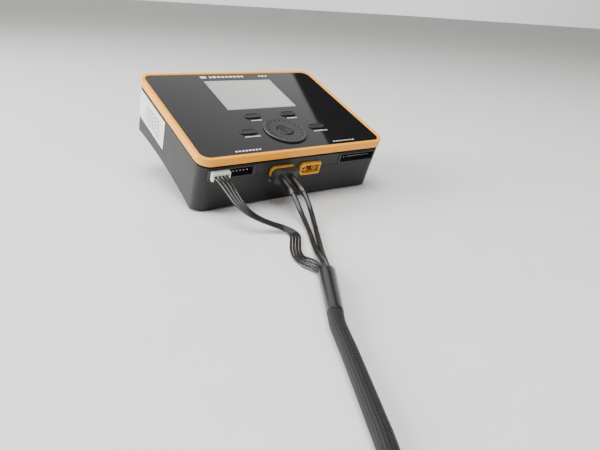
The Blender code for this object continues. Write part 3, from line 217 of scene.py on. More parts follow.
def bevelled(obj, width, segments=3, angle=30):
    only(obj)
    bevel = obj.modifiers.new("edges", "BEVEL")
    bevel.width = width
    bevel.segments = segments
    bevel.limit_method = "ANGLE"
    bevel.angle_limit = math.radians(angle)
    bevel.use_clamp_overlap = True
    bevel.harden_normals = False
    bpy.ops.object.modifier_apply(modifier=bevel.name)


def smooth(obj, angle=35):
    only(obj)
    bpy.ops.object.shade_smooth_by_angle(angle=math.radians(angle))
    level = obj.modifiers.new("normals", "WEIGHTED_NORMAL")
    level.keep_sharp = True
    level.weight = 90
    bpy.ops.object.modifier_apply(modifier=level.name)


def finished(obj, material, slot, body="case", *nodes):
    """Gives a piece its finish and the body that it rides on, and hides the nodes that it stands for."""
    obj.data.materials.clear()
    obj.data.materials.append(material)
    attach(obj, body)
    if nodes:
        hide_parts(*nodes)
    return obj


def placed(obj, angle, material, slot, body="case", *nodes):
    """Shades a piece made in the case's level frame, moves it to its place there and finishes it."""
    smooth(obj, angle)
    seat(obj)
    return finished(obj, material, slot, body, *nodes)


def soft_edged(node, name, edge, body, material, slot, angle=30):
    """A copy of a frame node with its flat faces whole again and its edges softened."""
    mesh = frame["nodes"][node].data.copy()
    piece = bpy.data.objects.new(name, mesh)
    bpy.context.scene.collection.objects.link(piece)
    only(piece)
    bpy.ops.object.mode_set(mode="EDIT")
    bpy.ops.mesh.select_all(action="SELECT")
    bpy.ops.mesh.remove_doubles(threshold=0.000005)
    bpy.ops.mesh.dissolve_limited(angle_limit=math.radians(1.0))
    bpy.ops.object.mode_set(mode="OBJECT")
    if edge:
        bevelled(piece, edge, 2, angle)
    smooth(piece)
    return finished(piece, material, slot, body, node)


def block(name, centre, size, corner=0.0, axis=2, edge=0.0, segments=6):
    """A box in the case's frame, with round corners about one axis and soft edges all round."""
    bpy.ops.mesh.primitive_cube_add(size=1, location=centre, scale=size)
    obj = added(name)
    settle(obj)
    if corner:
        bpy.ops.object.mode_set(mode="EDIT")
        select_where(obj, "EDGE", upright(obj, axis))
        bpy.ops.mesh.bevel(offset=corner, segments=segments, affect="EDGES", profile=0.5)
        bpy.ops.object.mode_set(mode="OBJECT")
    if edge:
        bevelled(obj, edge, 2)
    return obj


def spun(name, profile, steps, centre):
    """Spins a profile of (radius, height) points about the Z axis through centre, in the case's frame."""
    bpy.ops.mesh.primitive_plane_add(size=0.001, location=(0, 0, 0))
    obj = added(name)
    bpy.ops.object.mode_set(mode="EDIT")
    bpy.ops.mesh.select_mode(type="VERT")
    bpy.ops.mesh.select_all(action="SELECT")
    bpy.ops.mesh.merge(type="CENTER")
    bpy.ops.transform.translate(value=(profile[0][0], 0, profile[0][1]))
    for (r0, z0), (r1, z1) in zip(profile, profile[1:]):
        bpy.ops.mesh.extrude_vertices_move(TRANSFORM_OT_translate={"value": (r1 - r0, 0, z1 - z0)})
    bpy.ops.mesh.select_all(action="SELECT")
    bpy.ops.mesh.spin(steps=steps, angle=math.tau, center=(0, 0, 0), axis=(0, 0, 1))
    bpy.ops.mesh.select_all(action="SELECT")
    bpy.ops.mesh.remove_doubles(threshold=0.00001)
    bpy.ops.mesh.normals_make_consistent(inside=False)
    bpy.ops.object.mode_set(mode="OBJECT")
    obj.location = centre
    settle(obj)
    return obj


def joined(name, objects):
    only(objects[0])
    for other in objects[1:]:
        other.select_set(True)
    bpy.ops.object.join()
    objects[0].name = name
    return objects[0]


def carve(obj, cutter, operation="DIFFERENCE"):
    only(obj)
    boolean = obj.modifiers.new("cut", "BOOLEAN")
    boolean.operation = operation
    boolean.solver = "EXACT"
    boolean.object = cutter
    bpy.ops.object.modifier_apply(modifier=boolean.name)
    bpy.data.objects.remove(cutter)
    if not obj.data.polygons:
        raise RuntimeError(f"{obj.name}: nothing was left of it by a cut")


# ---- Finishes ----
def group_named(name, inputs, outputs):
    group = bpy.data.node_groups.new(name, "ShaderNodeTree")
    for label, kind, default in inputs:
        socket = group.interface.new_socket(label, in_out="INPUT", socket_type=kind)
        socket.default_value = default
    for label, kind in outputs:
        group.interface.new_socket(label, in_out="OUTPUT", socket_type=kind)
    return group, group.nodes.new("NodeGroupInput"), group.nodes.new("NodeGroupOutput")


def math_node(tree, operation, a, b=None):
    node = tree.nodes.new("ShaderNodeMath")
    node.operation = operation
    for socket, value in zip(node.inputs, (a, b)):
        if value is None:
            continue
        if isinstance(value, (int, float)):
            socket.default_value = value
        else:
            tree.links.new(value, socket)
    return node.outputs[0]


def product(tree, first, *others):
    for value in others:
        first = math_node(tree, "MULTIPLY", first, value)
    return first


def noise(tree, vector, scale, detail=3.0, roughness=0.55):
    node = tree.nodes.new("ShaderNodeTexNoise")
    node.inputs["Detail"].default_value = detail
    node.inputs["Roughness"].default_value = roughness
    if isinstance(scale, (int, float)):
        node.inputs["Scale"].default_value = scale
    else:
        tree.links.new(scale, node.inputs["Scale"])
    tree.links.new(vector, node.inputs["Vector"])
    return node.outputs["Fac"]


def remap(tree, value, low, high, new_low, new_high):
    node = tree.nodes.new("ShaderNodeMapRange")
    for label, number in (("From Min", low), ("From Max", high), ("To Min", new_low), ("To Max", new_high)):
        if isinstance(number, (int, float)):
            node.inputs[label].default_value = number
        else:
            tree.links.new(number, node.inputs[label])
    tree.links.new(value, node.inputs["Value"])
    return node.outputs["Result"]


def mixed(tree, factor, a, b):
    node = tree.nodes.new("ShaderNodeMix")
    node.data_type = "RGBA"
    tree.links.new(factor, node.inputs["Factor"])
    for socket, value in ((node.inputs["A"], a), (node.inputs["B"], b)):
        if isinstance(value, tuple):
            socket.default_value = value
        else:
            tree.links.new(value, socket)
    return node.outputs["Result"]


def surface_group():
    """Moulding grain, smudges, dust and lighter convex edges (partly real abrasion, partly a painted
    highlight), shared by every finish.
    """
    inputs = [("Color", "NodeSocketColor", (0.5, 0.5, 0.5, 1)), ("Roughness", "NodeSocketFloat", 0.5),
              ("Grain Scale", "NodeSocketFloat", 900.0), ("Smudge", "NodeSocketFloat", 0.1),
              ("Variation", "NodeSocketFloat", 0.1), ("Worn Edge And Highlight", "NodeSocketFloat", 0.2),
              ("Worn Edge And Highlight Color", "NodeSocketColor", (0.6, 0.6, 0.6, 1)),
              ("Vector", "NodeSocketVector", (0, 0, 0))]
    outputs = [("Color", "NodeSocketColor"), ("Roughness", "NodeSocketFloat"), ("Height", "NodeSocketFloat")]
    group, source, result = group_named("moulded_surface", inputs, outputs)
    links = group.links
    point = source.outputs["Vector"]
    grain = noise(group, point, source.outputs["Grain Scale"], 2.0)
    patches = noise(group, point, 45.0, 4.0)
    specks = noise(group, point, 2600.0, 1.0)
    geometry = group.nodes.new("ShaderNodeNewGeometry")
    # Painted highlight: convex edges, found by pointiness, take a lighter colour; this stands partly for real
    # abrasion of the edges and partly for the light that edges catch.
    edges = remap(group, geometry.outputs["Pointiness"], 0.52, 0.60, 0.0, 1.0)
    worn_edge_and_highlight = product(group, edges, source.outputs["Worn Edge And Highlight"], remap(group, patches, 0.35, 0.65, 0.2, 1.0))
    low = math_node(group, "SUBTRACT", 1.0, source.outputs["Variation"])
    shade = remap(group, patches, 0.3, 0.7, low, 1.0)
    scaled = group.nodes.new("ShaderNodeVectorMath")
    scaled.operation = "SCALE"
    links.new(source.outputs["Color"], scaled.inputs[0])
    links.new(shade, scaled.inputs["Scale"])
    dusty = remap(group, specks, 0.70, 0.78, 0.0, 0.12)
    dust_amount = product(group, dusty, source.outputs["Variation"])
    base = mixed(group, worn_edge_and_highlight, scaled.outputs[0], source.outputs["Worn Edge And Highlight Color"])
    links.new(mixed(group, dust_amount, base, (0.6, 0.6, 0.58, 1)), result.inputs["Color"])
    smudge = product(group, remap(group, patches, 0.3, 0.7, -1.0, 1.0), source.outputs["Smudge"])
    rough = math_node(group, "ADD", source.outputs["Roughness"], smudge)
    links.new(math_node(group, "MAXIMUM", rough, 0.03), result.inputs["Roughness"])
    links.new(grain, result.inputs["Height"])
    return group


SURFACE = surface_group()


def material(name, colour, roughness, grain=900.0, bump=0.02, smudge=0.05, variation=0.12, edge_wear_and_highlight=0.15,
             worn_edge_and_highlight=(0.5, 0.5, 0.5), metallic=0.0, coat=0.0, **sockets):
    """A finish with the shared surface, and constants on the shader's own sockets."""
    made = bpy.data.materials.new(name)
    made.use_nodes = True
    tree = made.node_tree
    shader = tree.nodes["Principled BSDF"]
    place = tree.nodes.new("ShaderNodeTexCoord")
    surface = tree.nodes.new("ShaderNodeGroup")
    surface.node_tree = SURFACE
    surface.name = "surface"
    values = {"Color": (*colour, 1), "Roughness": roughness, "Grain Scale": grain, "Smudge": smudge,
              "Variation": variation, "Worn Edge And Highlight": edge_wear_and_highlight, "Worn Edge And Highlight Color": (*worn_edge_and_highlight, 1)}
    for label, value in values.items():
        surface.inputs[label].default_value = value
    tree.links.new(place.outputs["Object"], surface.inputs["Vector"])
    tree.links.new(surface.outputs["Color"], shader.inputs["Base Color"])
    tree.links.new(surface.outputs["Roughness"], shader.inputs["Roughness"])
    if bump:
        height = tree.nodes.new("ShaderNodeBump")
        height.name = "relief"
        height.inputs["Strength"].default_value = bump
        height.inputs["Distance"].default_value = 0.0002
        tree.links.new(surface.outputs["Height"], height.inputs["Height"])
        tree.links.new(height.outputs["Normal"], shader.inputs["Normal"])
    shader.inputs["Metallic"].default_value = metallic
    shader.inputs["Coat Weight"].default_value = coat
    shader.inputs["Coat Roughness"].default_value = 0.05
    for label, value in sockets.items():
        shader.inputs[label.replace("_", " ")].default_value = value
    return made


def panel_point(tree):
    """Object coordinates turned level with the case and measured from the middle of the dial's face."""
    place = tree.nodes.new("ShaderNodeTexCoord")
    mapping = tree.nodes.new("ShaderNodeMapping")
    mapping.vector_type = "TEXTURE"
    mapping.inputs["Location"].default_value = DIAL_JOINT["pos_m"]
    mapping.inputs["Rotation"].default_value = (TILT, 0, 0)
    tree.links.new(place.outputs["Object"], mapping.inputs["Vector"])
    split = tree.nodes.new("ShaderNodeSeparateXYZ")
    tree.links.new(mapping.outputs["Vector"], split.inputs["Vector"])
    return split.outputs["X"], split.outputs["Y"], split.outputs["Z"]


def recoloured(made, mask, colour):
    """Puts colour over a material's own where mask is 1."""
    tree = made.node_tree
    shader = tree.nodes["Principled BSDF"]
    own = shader.inputs["Base Color"].links[0].from_socket
    tree.links.new(mixed(tree, mask, own, colour), shader.inputs["Base Color"])


def display_finish():
    """A display that is off: a pale silver-grey that is partly its own colour and partly a painted
    reflection, a little darker round its rim, and darker towards the left as painted shade.
    """
    # Painted reflection: the pale base stands partly for a bright room mirrored in the window.
    made = material("display_silver", (0.47, 0.475, 0.455), 0.30, 3000, 0.0, 0.03, 0.06, 0.0, coat=1.0)
    tree = made.node_tree
    x, y, _ = panel_point(tree)
    middle = WINDOW_Y - DIAL_Y
    across = math_node(tree, "ABSOLUTE", x)
    deep = math_node(tree, "ABSOLUTE", math_node(tree, "SUBTRACT", y, middle))
    side = remap(tree, across, 0.0268, 0.0274, 0.0, 1.0)
    end = remap(tree, deep, 0.0196, 0.0202, 0.0, 1.0)
    rim = product(tree, math_node(tree, "MAXIMUM", side, end), 0.5)
    # Painted shade: darker from the right towards the left, as the light falls across the display.
    painted_left_shade = remap(tree, x, -0.028, 0.028, 0.42, 0.0)
    # The darker grey goes on the rim and, as painted shade, over the left.
    recoloured(made, math_node(tree, "MAXIMUM", rim, painted_left_shade), (0.27, 0.272, 0.26, 1))
    return made


def between(tree, value, low, high):
    """1 where value lies between low and high, and 0 elsewhere."""
    above, below = math_node(tree, "GREATER_THAN", value, low), math_node(tree, "LESS_THAN", value, high)
    return product(tree, above, below)


def label_finish():
    """White label film with rows of plain grey rules."""
    made = material("label_film", (0.80, 0.80, 0.79), 0.45, 2500, 0.01, 0.04, 0.05, 0.0)
    tree = made.node_tree
    _, y, z = panel_point(tree)
    rows = math_node(tree, "FRACT", product(tree, z, 1 / 0.0028))
    dashes = math_node(tree, "FRACT", product(tree, y, 1 / 0.0047))
    line = math_node(tree, "LESS_THAN", rows, 0.45)
    line = product(tree, line, math_node(tree, "LESS_THAN", dashes, 0.78))
    inside = product(tree, between(tree, y, 0.0400, 0.0670), between(tree, z, -0.0253, -0.0115))
    ink = product(tree, line, inside, 0.9)
    recoloured(made, ink, (0.06, 0.06, 0.06, 1))
    return made


def braid_finish():
    """Black braided sleeving: two sets of flat strands that cross, laid out along the tube's own UV map, with
    a painted highlight on the raised strands.
    """
    made = material("braided_sleeve", (0.006, 0.006, 0.0065), 0.50, 2500, 0.0, 0.04, 0.1, 0.0)
    tree = made.node_tree
    place = tree.nodes.new("ShaderNodeTexCoord")
    split = tree.nodes.new("ShaderNodeSeparateXYZ")
    tree.links.new(place.outputs["UV"], split.inputs["Vector"])
    along = product(tree, split.outputs["X"], 170.0)
    round_it = product(tree, split.outputs["Y"], 18.0)
    heights = []
    for sign in (1, -1):
        phase = math_node(tree, "ADD", along, product(tree, round_it, sign))
        heights.append(math_node(tree, "SINE", product(tree, phase, math.pi)))
    weave = product(tree, heights[0], heights[1])
    lift = remap(tree, weave, -1.0, 1.0, 0.0, 1.0)
    relief = tree.nodes.new("ShaderNodeBump")
    relief.inputs["Strength"].default_value = 0.8
    relief.inputs["Distance"].default_value = 0.00035
    tree.links.new(lift, relief.inputs["Height"])
    tree.links.new(relief.outputs["Normal"], tree.nodes["Principled BSDF"].inputs["Normal"])
    # Painted highlight: the raised parts of the strands are tinted lighter than the black between them.
    recoloured(made, remap(tree, lift, 0.45, 1.0, 0.0, 0.7), (0.030, 0.030, 0.032, 1))
    tree.nodes["Principled BSDF"].inputs["Specular IOR Level"].default_value = 0.25
    return made


class ChargerFinishes(bpy.types.PropertyGroup):
    """Colours that a user would change."""

    bezel: bpy.props.FloatVectorProperty(
        name="Bezel", description="Colour of the frame round the panel", subtype="COLOR", size=3,
        min=0, max=1, default=(1.0, 0.385, 0.004))
    shell: bpy.props.FloatVectorProperty(
        name="Shell", description="Colour of the moulded case", subtype="COLOR", size=3,
        min=0, max=1, default=(0.009, 0.009, 0.0094))
    sockets: bpy.props.FloatVectorProperty(
        name="Power sockets", description="Colour of the power sockets", subtype="COLOR", size=3,
        min=0, max=1, default=(0.80, 0.36, 0.020))


class ChargerSizes(bpy.types.PropertyGroup):
    """Sizes of the details that the frame doesn't carry."""

    shell_edge: bpy.props.FloatProperty(
        name="Shell edge", description="Softening of the case's edges", default=0.0004, unit="LENGTH",
        subtype="DISTANCE")
    bezel_edge: bpy.props.FloatProperty(
        name="Bezel edge", description="Softening of the bezel's edges", default=0.00045, unit="LENGTH",
        subtype="DISTANCE")
    balance_wire: bpy.props.FloatProperty(
        name="Balance wire", description="Diameter of each balance wire", default=0.0014, unit="LENGTH",
        subtype="DISTANCE")
    power_wire: bpy.props.FloatProperty(
        name="Power wire", description="Diameter of each power wire", default=0.0032, unit="LENGTH",
        subtype="DISTANCE")
    sleeve: bpy.props.FloatProperty(
        name="Sleeve", description="Diameter of the braided sleeve", default=0.0072, unit="LENGTH",
        subtype="DISTANCE")
    shrink_length: bpy.props.FloatProperty(
        name="Shrink length", description="Length of heat-shrink on each power wire", default=0.0165,
        unit="LENGTH",
        subtype="DISTANCE")


FINISH = {}


def finishes():
    """Every material, made once."""
    if FINISH:
        return FINISH
    colours = bpy.context.scene.charger_finishes
    FINISH.update({
        # In each finish the tuple after the amount is the lighter colour of its convex edges: partly real
        # abrasion, partly a painted highlight.
        "shell": material("shell_moulded", tuple(colours.shell), 0.46, 1500, 0.16, 0.05, 0.12, 0.25,
                          (0.08, 0.08, 0.08),
                          Specular_IOR_Level=0.40),
        "bezel": material("bezel_orange", tuple(colours.bezel), 0.33, 1200, 0.02, 0.04, 0.06, 0.25,
                          (0.9, 0.62, 0.32)),
        "panel": material("panel_acrylic", (0.010, 0.010, 0.011), 0.022, 900, 0.0, 0.008, 0.1, 0.0,
                          Specular_IOR_Level=0.62),
        "marks": material("panel_print", (0.78, 0.78, 0.78), 0.4, 2500, 0.0, 0.02, 0.05, 0.0),
        "keys": material("key_satin_black", (0.018, 0.018, 0.019), 0.24, 1800, 0.02, 0.03, 0.1, 0.3,
                         (0.09, 0.09, 0.09)),
        "dial": material("dial_soft_black", (0.036, 0.036, 0.037), 0.40, 1400, 0.05, 0.04, 0.1, 0.25,
                         (0.12, 0.12, 0.12)),
        "display": display_finish(),
        "label": label_finish(),
        "amber": material("socket_amber", tuple(colours.sockets), 0.38, 1800, 0.03, 0.05, 0.12, 0.3,
                          (0.95, 0.66, 0.2),
                          Subsurface_Weight=0.05),
        "brass": material("contact_gilt", (0.86, 0.64, 0.30), 0.22, 4000, 0.01, 0.06, 0.1, 0.2,
                          (0.95, 0.8, 0.5),
                          metallic=1.0),
        "tin": material("pin_tin", (0.72, 0.71, 0.69), 0.25, 4000, 0.01, 0.05, 0.1, 0.2, (0.9, 0.9, 0.9),
                        metallic=1.0),
        "nylon": material("black_nylon", (0.026, 0.026, 0.027), 0.34, 1800, 0.05, 0.05, 0.12, 0.3,
                          (0.1, 0.1, 0.1)),
        "white": material("white_nylon", (0.80, 0.79, 0.75), 0.42, 1800, 0.04, 0.05, 0.08, 0.1,
                          (0.9, 0.9, 0.88),
                          Subsurface_Weight=0.06),
        "rubber": material("foot_rubber", (0.020, 0.020, 0.020), 0.80, 2200, 0.2, 0.05, 0.2, 0.2,
                           (0.08, 0.08, 0.08)),
        "steel": material("black_steel", (0.16, 0.16, 0.165), 0.32, 3000, 0.03, 0.08, 0.15, 0.6,
                          (0.6, 0.6, 0.6),
                          metallic=1.0),
        "lens": material("light_lens", (0.10, 0.105, 0.105), 0.16, 1500, 0.0, 0.02, 0.05, 0.0, coat=0.6),
        "silicone": material("wire_silicone", (0.012, 0.012, 0.013), 0.24, 1800, 0.04, 0.06, 0.15, 0.0),
        "shrink": material("heat_shrink", (0.012, 0.012, 0.013), 0.20, 520, 0.22, 0.06, 0.15, 0.2,
                           (0.1, 0.1, 0.1)),
        "braid": braid_finish(),
        "board": material("board_mask", (0.012, 0.085, 0.035), 0.32, 900, 0.15, 0.05, 0.25, 0.2,
                          (0.4, 0.36, 0.1)),
        "aluminium": material("fin_aluminium", (0.70, 0.71, 0.73), 0.34, 2600, 0.06, 0.06, 0.1, 0.3,
                              (0.9, 0.9, 0.9),
                              metallic=1.0),
        "can": material("capacitor_sleeve", (0.035, 0.045, 0.14), 0.28, 1200, 0.03, 0.05, 0.1, 0.3,
                        (0.6, 0.6, 0.62)),
        "floor": material("studio_floor", (0.74, 0.735, 0.725), 0.55, 400, 0.02, 0.03, 0.03, 0.0),
    })
    return FINISH


# ---- Case ----
class CHARGER_OT_shells(bpy.types.Operator):
    """The two halves of the case, with softened edges and round corners."""

    bl_idname = "charger.shells"
    bl_label = "Shells"

    def execute(self, context):
        edge = context.scene.charger_sizes.shell_edge
        shell = finishes()["shell"]
        soft_edged("lower_shell", "case_bottom", edge, "case", shell, "shell_plastic")
        soft_edged("upper_shell", "case_top", 0.5 * edge, "case", shell, "shell_plastic")
        return {"FINISHED"}


class CHARGER_OT_bezel(bpy.types.Operator):
    """The orange frame round the panel, from a round-cornered sheet with its middle taken out."""

    bl_idname = "charger.bezel"
    bl_label = "Bezel"

    def execute(self, context):
        bpy.ops.mesh.primitive_plane_add(size=1, location=(0, 0, FACE + BEZEL_PROUD))
        ring = added("bezel")
        ring.scale = (BEZEL_WIDTH, BEZEL_DEPTH, 1)
        settle(ring)
        bpy.ops.object.mode_set(mode="EDIT")
        bpy.ops.mesh.select_all(action="SELECT")
        bpy.ops.mesh.bevel(offset=BEZEL_CORNER, segments=20, affect="VERTICES", profile=0.5)
        bpy.ops.mesh.select_all(action="SELECT")
        bpy.ops.mesh.inset(thickness=BEZEL_LIP)
        bpy.ops.mesh.delete(type="FACE")
        bpy.ops.object.mode_set(mode="OBJECT")
        wall = ring.modifiers.new("wall", "SOLIDIFY")
        wall.thickness = BEZEL_SIDE
        wall.offset = -1
        bpy.ops.object.modifier_apply(modifier=wall.name)
        bevelled(ring, context.scene.charger_sizes.bezel_edge, 3)
        placed(ring, 40, finishes()["bezel"], "bezel_orange", "case", "bezel_ring")
        return {"FINISHED"}


class CHARGER_OT_panel(bpy.types.Operator):
    """The glossy panel, the display behind its window and the printed marks."""

    bl_idname = "charger.panel"
    bl_label = "Panel"

    def execute(self, context):
        soft_edged("fascia_panel", "panel", 0.00012, "case", finishes()["panel"], "panel_gloss")
        soft_edged("display_window", "display_lens", 0.00012, "case", finishes()["display"], "display_glass")
        self.marks()
        return {"FINISHED"}

    def mark(self, x, y, length, width):
        """One flat printed bar with round ends, just proud of the panel."""
        corner = MARK_ROUND * min(length, width)
        return block("mark", (x, y, FACE + PRINT_LIFT), (length, width, PRINT_THICK), corner, 2, 0.0, 4)

    def marks(self):
        """Plain dashes: a name row over the display, a row under each key and one at each output's edge."""
        bars = [self.mark(x, NAME_ROW_Y, length, width) for x, length, width in NAME_ROW]
        for name, (x, y) in KEYS.items():
            count = 7 if name.startswith("lower") else 5
            for i in range(count):
                along = x + KEY_BAR_SHIFT + (i - (count - 1) / 2) * KEY_BAR_STEP
                bars.append(self.mark(along, y - KEY_BAR_DROP, 0.0012, 0.0010))
        for start, width in ((-0.0465, 0.0014), (0.0300, 0.0009)):
            for i in range(EDGE_BARS):
                bars.append(self.mark(start + i * EDGE_BAR_STEP, EDGE_ROW_Y, 0.0015, width))
        print_layer = joined("panel_marks", bars)
        seat(print_layer)
        finished(print_layer, finishes()["marks"], "panel_gloss")


class CHARGER_OT_controls(bpy.types.Operator):
    """The dished dial, its middle button and the four long keys."""

    bl_idname = "charger.controls"
    bl_label = "Controls"

    def execute(self, context):
        self.dial()
        self.button()
        for name, (x, y) in KEYS.items():
            self.key(name, x, y)
        return {"FINISHED"}

    def dial(self):
        rim, bore = DIAL_RADIUS, DIAL_BORE
        profile = [(bore, -0.0037), (0.0086, -0.0037), (0.0086, 0.0003), (rim - 0.0002, 0.0003),
                   (rim, 0.0005)]
        for i in range(7):
            a = math.pi / 2 * i / 6
            profile.append((rim - 0.0007 + 0.0007 * math.cos(a), 0.0007 + 0.0007 * math.sin(a)))
        dish = [(0.0142, 0.00138), (0.0138, 0.00126), (0.0134, 0.00118), (0.0112, 0.00096), (0.0092, 0.00084),
                (0.0074, 0.00082), (0.0067, 0.00084), (0.0063, 0.00076), (bore, 0.0005)]
        dial = spun("dial", profile + dish + [profile[0]], 96, (0, DIAL_Y, FACE))
        dimples = []
        for i in range(DIMPLES):
            a = math.tau * (i + 0.5) / DIMPLES
            dimple = block("dimple", (0, 0, 0), (0.0015, 0.0009, 0.0016), 0.0004, 2, 0.0, 5)
            x, y = DIMPLE_CIRCLE * math.cos(a), DIMPLE_CIRCLE * math.sin(a)
            dimple.location = (x, DIAL_Y + y, FACE + 0.0013)
            dimple.rotation_euler = (0, 0, a)
            settle(dimple)
            dimples.append(dimple)
        carve(dial, joined("dimples", dimples))
        placed(dial, 50, finishes()["dial"], "key_plastic", "dial", "jog_dial")

    def button(self):
        edge = BUTTON_RADIUS
        profile = [(0.0, -0.0041), (0.0022, -0.0041), (0.0022, -0.0012), (edge, -0.0012), (edge, 0.0005)]
        for i in range(1, 6):
            a = math.pi / 2 * i / 5
            profile.append((edge - 0.0006 + 0.0006 * math.cos(a), 0.0005 + 0.0006 * math.sin(a)))
        profile += [(0.0040, 0.00103), (0.0025, 0.00092), (0.0, 0.00088)]
        button = spun("middle_button", profile, 64, (0, DIAL_Y, FACE))
        placed(button, 50, finishes()["keys"], "key_plastic", "button", "dial_button")

    def key(self, name, x, y):
        """A long key: a round-ended bar whose top is dished, on a wider flange under the cover."""
        top, low = FACE + KEY_PROUD, FACE - KEY_BELOW
        bar = block(name + "_cap", (x, y, (top + low) / 2), (*KEY_SIZE, top - low), 0.00275, 2, 0.0, 12)
        bpy.ops.object.mode_set(mode="EDIT")
        select_where(bar, "FACE", lambda face: face.normal.z > 0.9)
        bpy.ops.mesh.inset(thickness=0.0005)
        bpy.ops.mesh.inset(thickness=0.0006)
        bpy.ops.transform.translate(value=(0, 0, -0.00018))
        bpy.ops.mesh.inset(thickness=0.0007)
        bpy.ops.transform.translate(value=(0, 0, -0.00014))
        bpy.ops.object.mode_set(mode="OBJECT")
        bevelled(bar, 0.0003, 3, 40)
        flange = block("flange", (x, y, FACE - FLANGE_BELOW), KEY_FLANGE, 0.0037, 2, 0.0002, 10)
        bar = joined(name + "_cap", [bar, flange])
        smooth(bar, 40)
        seat(bar)
        body = "key_" + name[: -len("_key")]
        finished(bar, finishes()["keys"], "key_plastic", body, name)


# ---- Sockets and plugs ----
class CHARGER_OT_sockets(bpy.types.Operator):
    """Power sockets with hollow contacts, balance sockets with their pins, and the small round light."""

    bl_idname = "charger.sockets"
    bl_label = "Sockets"

    def execute(self, context):
        finish = finishes()
        for side in ("left", "right"):
            soft_edged(f"output_socket_{side}", f"power_socket_{side}", 0.0002, "case", finish["amber"],
                       "amber_nylon")
            soft_edged(f"balance_socket_{side}", f"balance_shroud_{side}", 0.00015, "case", finish["nylon"],
                       "black_nylon")
            self.contacts(side)
        soft_edged("input_socket", "back_power_socket", 0.0003, "case", finish["amber"], "amber_nylon")
        soft_edged("status_light", "status_lens", 0.0003, "case", finish["lens"], "led_lens")
        self.pins()
        return {"FINISHED"}

    def contacts(self, side):
        """Two gilt tubes in a power socket."""
        middle = OUTPUT_LEFT_X if side == "left" else OUTPUT_RIGHT_X
        face = FRONT - SOCKET_PROUD
        tip, back = face + CONTACT_RECESS, face + CONTACT_BACK
        length = back - tip
        profile = [(0.0, 0.0), (0.0017, 0.0), (0.0017, length - 0.0003), (0.0014, length),
                   (0.00105, length - 0.0002), (0.00100, length - 0.0050), (0.0, length - 0.0052)]
        for end, x in (("outer", middle - PIN_SPREAD / 2), ("inner", middle + PIN_SPREAD / 2)):
            contact = spun(f"contact_{side}_{end}", profile, 32, (0, 0, 0))
            contact.rotation_euler = (math.radians(90), 0, 0)
            contact.location = (x, back, OUTPUT_HEIGHT)
            settle(contact)
            placed(contact, 40, finishes()["brass"], "contact_brass", "case", f"output_pin_{side}_{end}")

    def pins(self):
        """Square tinned pins: a full row on the right, and beside the fitted plug on the left."""
        start, end = FRONT + PIN_START, FRONT + BALANCE_INNER_END
        rows = {"right": [SLOT_START + PIN_INSET + i * BALANCE_PITCH for i in range(10)],
                "left": [-SLOT_START - PIN_INSET - i * BALANCE_PITCH for i in range(6)]}
        size = (PIN_SIZE, end - start, PIN_SIZE)
        for side, places in rows.items():
            made = [block("pin", (x, (start + end) / 2, BALANCE_HEIGHT), size, 0.0, 1,
                          0.00012) for x in places]
            row = joined(f"balance_pins_{side}", made)
            seat(row)
            finished(row, finishes()["tin"], "contact_brass")


class CHARGER_OT_plugs(bpy.types.Operator):
    """The white balance plug with its four cells, the grooved power plug and the battery's own plugs."""

    bl_idname = "charger.plugs"
    bl_label = "Plugs"

    def execute(self, context):
        self.balance_plug()
        self.power_plug()
        self.far_plugs()
        return {"FINISHED"}

    def balance_plug(self):
        left = -SLOT_START - SLOT_WIDTH + 0.0003
        front, back = FRONT - BALANCE_PLUG_PROUD, FRONT + BALANCE_INNER_END
        middle = left + BALANCE_PLUG_WIDTH / 2
        size = (BALANCE_PLUG_WIDTH, back - front, BALANCE_PLUG_TALL)
        plug = block("balance_plug_shell", (middle, (front + back) / 2, BALANCE_HEIGHT), size)
        places = [middle + (i - (BALANCE_WIRES - 1) / 2) * BALANCE_PITCH for i in range(BALANCE_WIRES)]
        for x in places:
            carve(plug, block("cell", (x, front, BALANCE_HEIGHT - 0.0009), (0.0019, 0.0050, 0.0040)))
        bevelled(plug, 0.00022, 2, 40)
        placed(plug, 35, finishes()["white"], "white_nylon", "case", "balance_plug")
        crimps = [block("crimp", (x, front + 0.0011, BALANCE_HEIGHT - 0.0002), (0.0013, 0.0024, 0.0013),
                        0.0006, 1)
                  for x in places]
        ends = joined("balance_wire_ends", crimps)
        placed(ends, 35, finishes()["silicone"], "silicone")

    def power_plug(self):
        """The keyed grip with five grooves in its top and bottom, and the nose that enters the socket."""
        back = FRONT - SOCKET_PROUD - 0.0003
        half, tall, deep = 0.0088, 0.0046, 0.0055
        body = block("power_plug_body", (OUTPUT_LEFT_X, back - deep / 2, OUTPUT_HEIGHT),
                     (2 * half, deep, 2 * tall))
        bpy.ops.object.mode_set(mode="EDIT")
        select_where(body, "EDGE", lambda edge: upright(body, 1)(edge) and self.left_side(body, edge))
        bpy.ops.mesh.bevel(offset=0.0022, segments=1, affect="EDGES")
        bpy.ops.object.mode_set(mode="OBJECT")
        for side in (-1, 1):
            for i in range(5):
                x = OUTPUT_LEFT_X + 0.0016 + (i - 2) * 0.0022
                place = (x, back - 0.0031, OUTPUT_HEIGHT + side * tall)
                carve(body, block("groove", place, (0.0012, 0.0030, 0.0014)))
        nose = block("nose", (OUTPUT_LEFT_X, back + 0.0030, OUTPUT_HEIGHT), (0.0137, 0.0066, 0.0057))
        carve(body, nose, "UNION")
        bevelled(body, 0.00035, 2, 40)
        placed(body, 35, finishes()["nylon"], "black_nylon", "case", "power_plug")

    def left_side(self, body, edge):
        return all(body.data.vertices[i].co.x < OUTPUT_LEFT_X for i in edge.vertices)

    def far_plugs(self):
        finish = finishes()
        soft_edged("far_power_plug", "battery_power_plug", 0.0003, "case", finish["amber"], "amber_nylon")
        soft_edged("far_boot", "battery_boot", 0.0, "case", finish["shrink"], "heat_shrink")
        soft_edged("far_balance_plug", "battery_balance_plug", 0.0003, "case", finish["white"], "white_nylon")


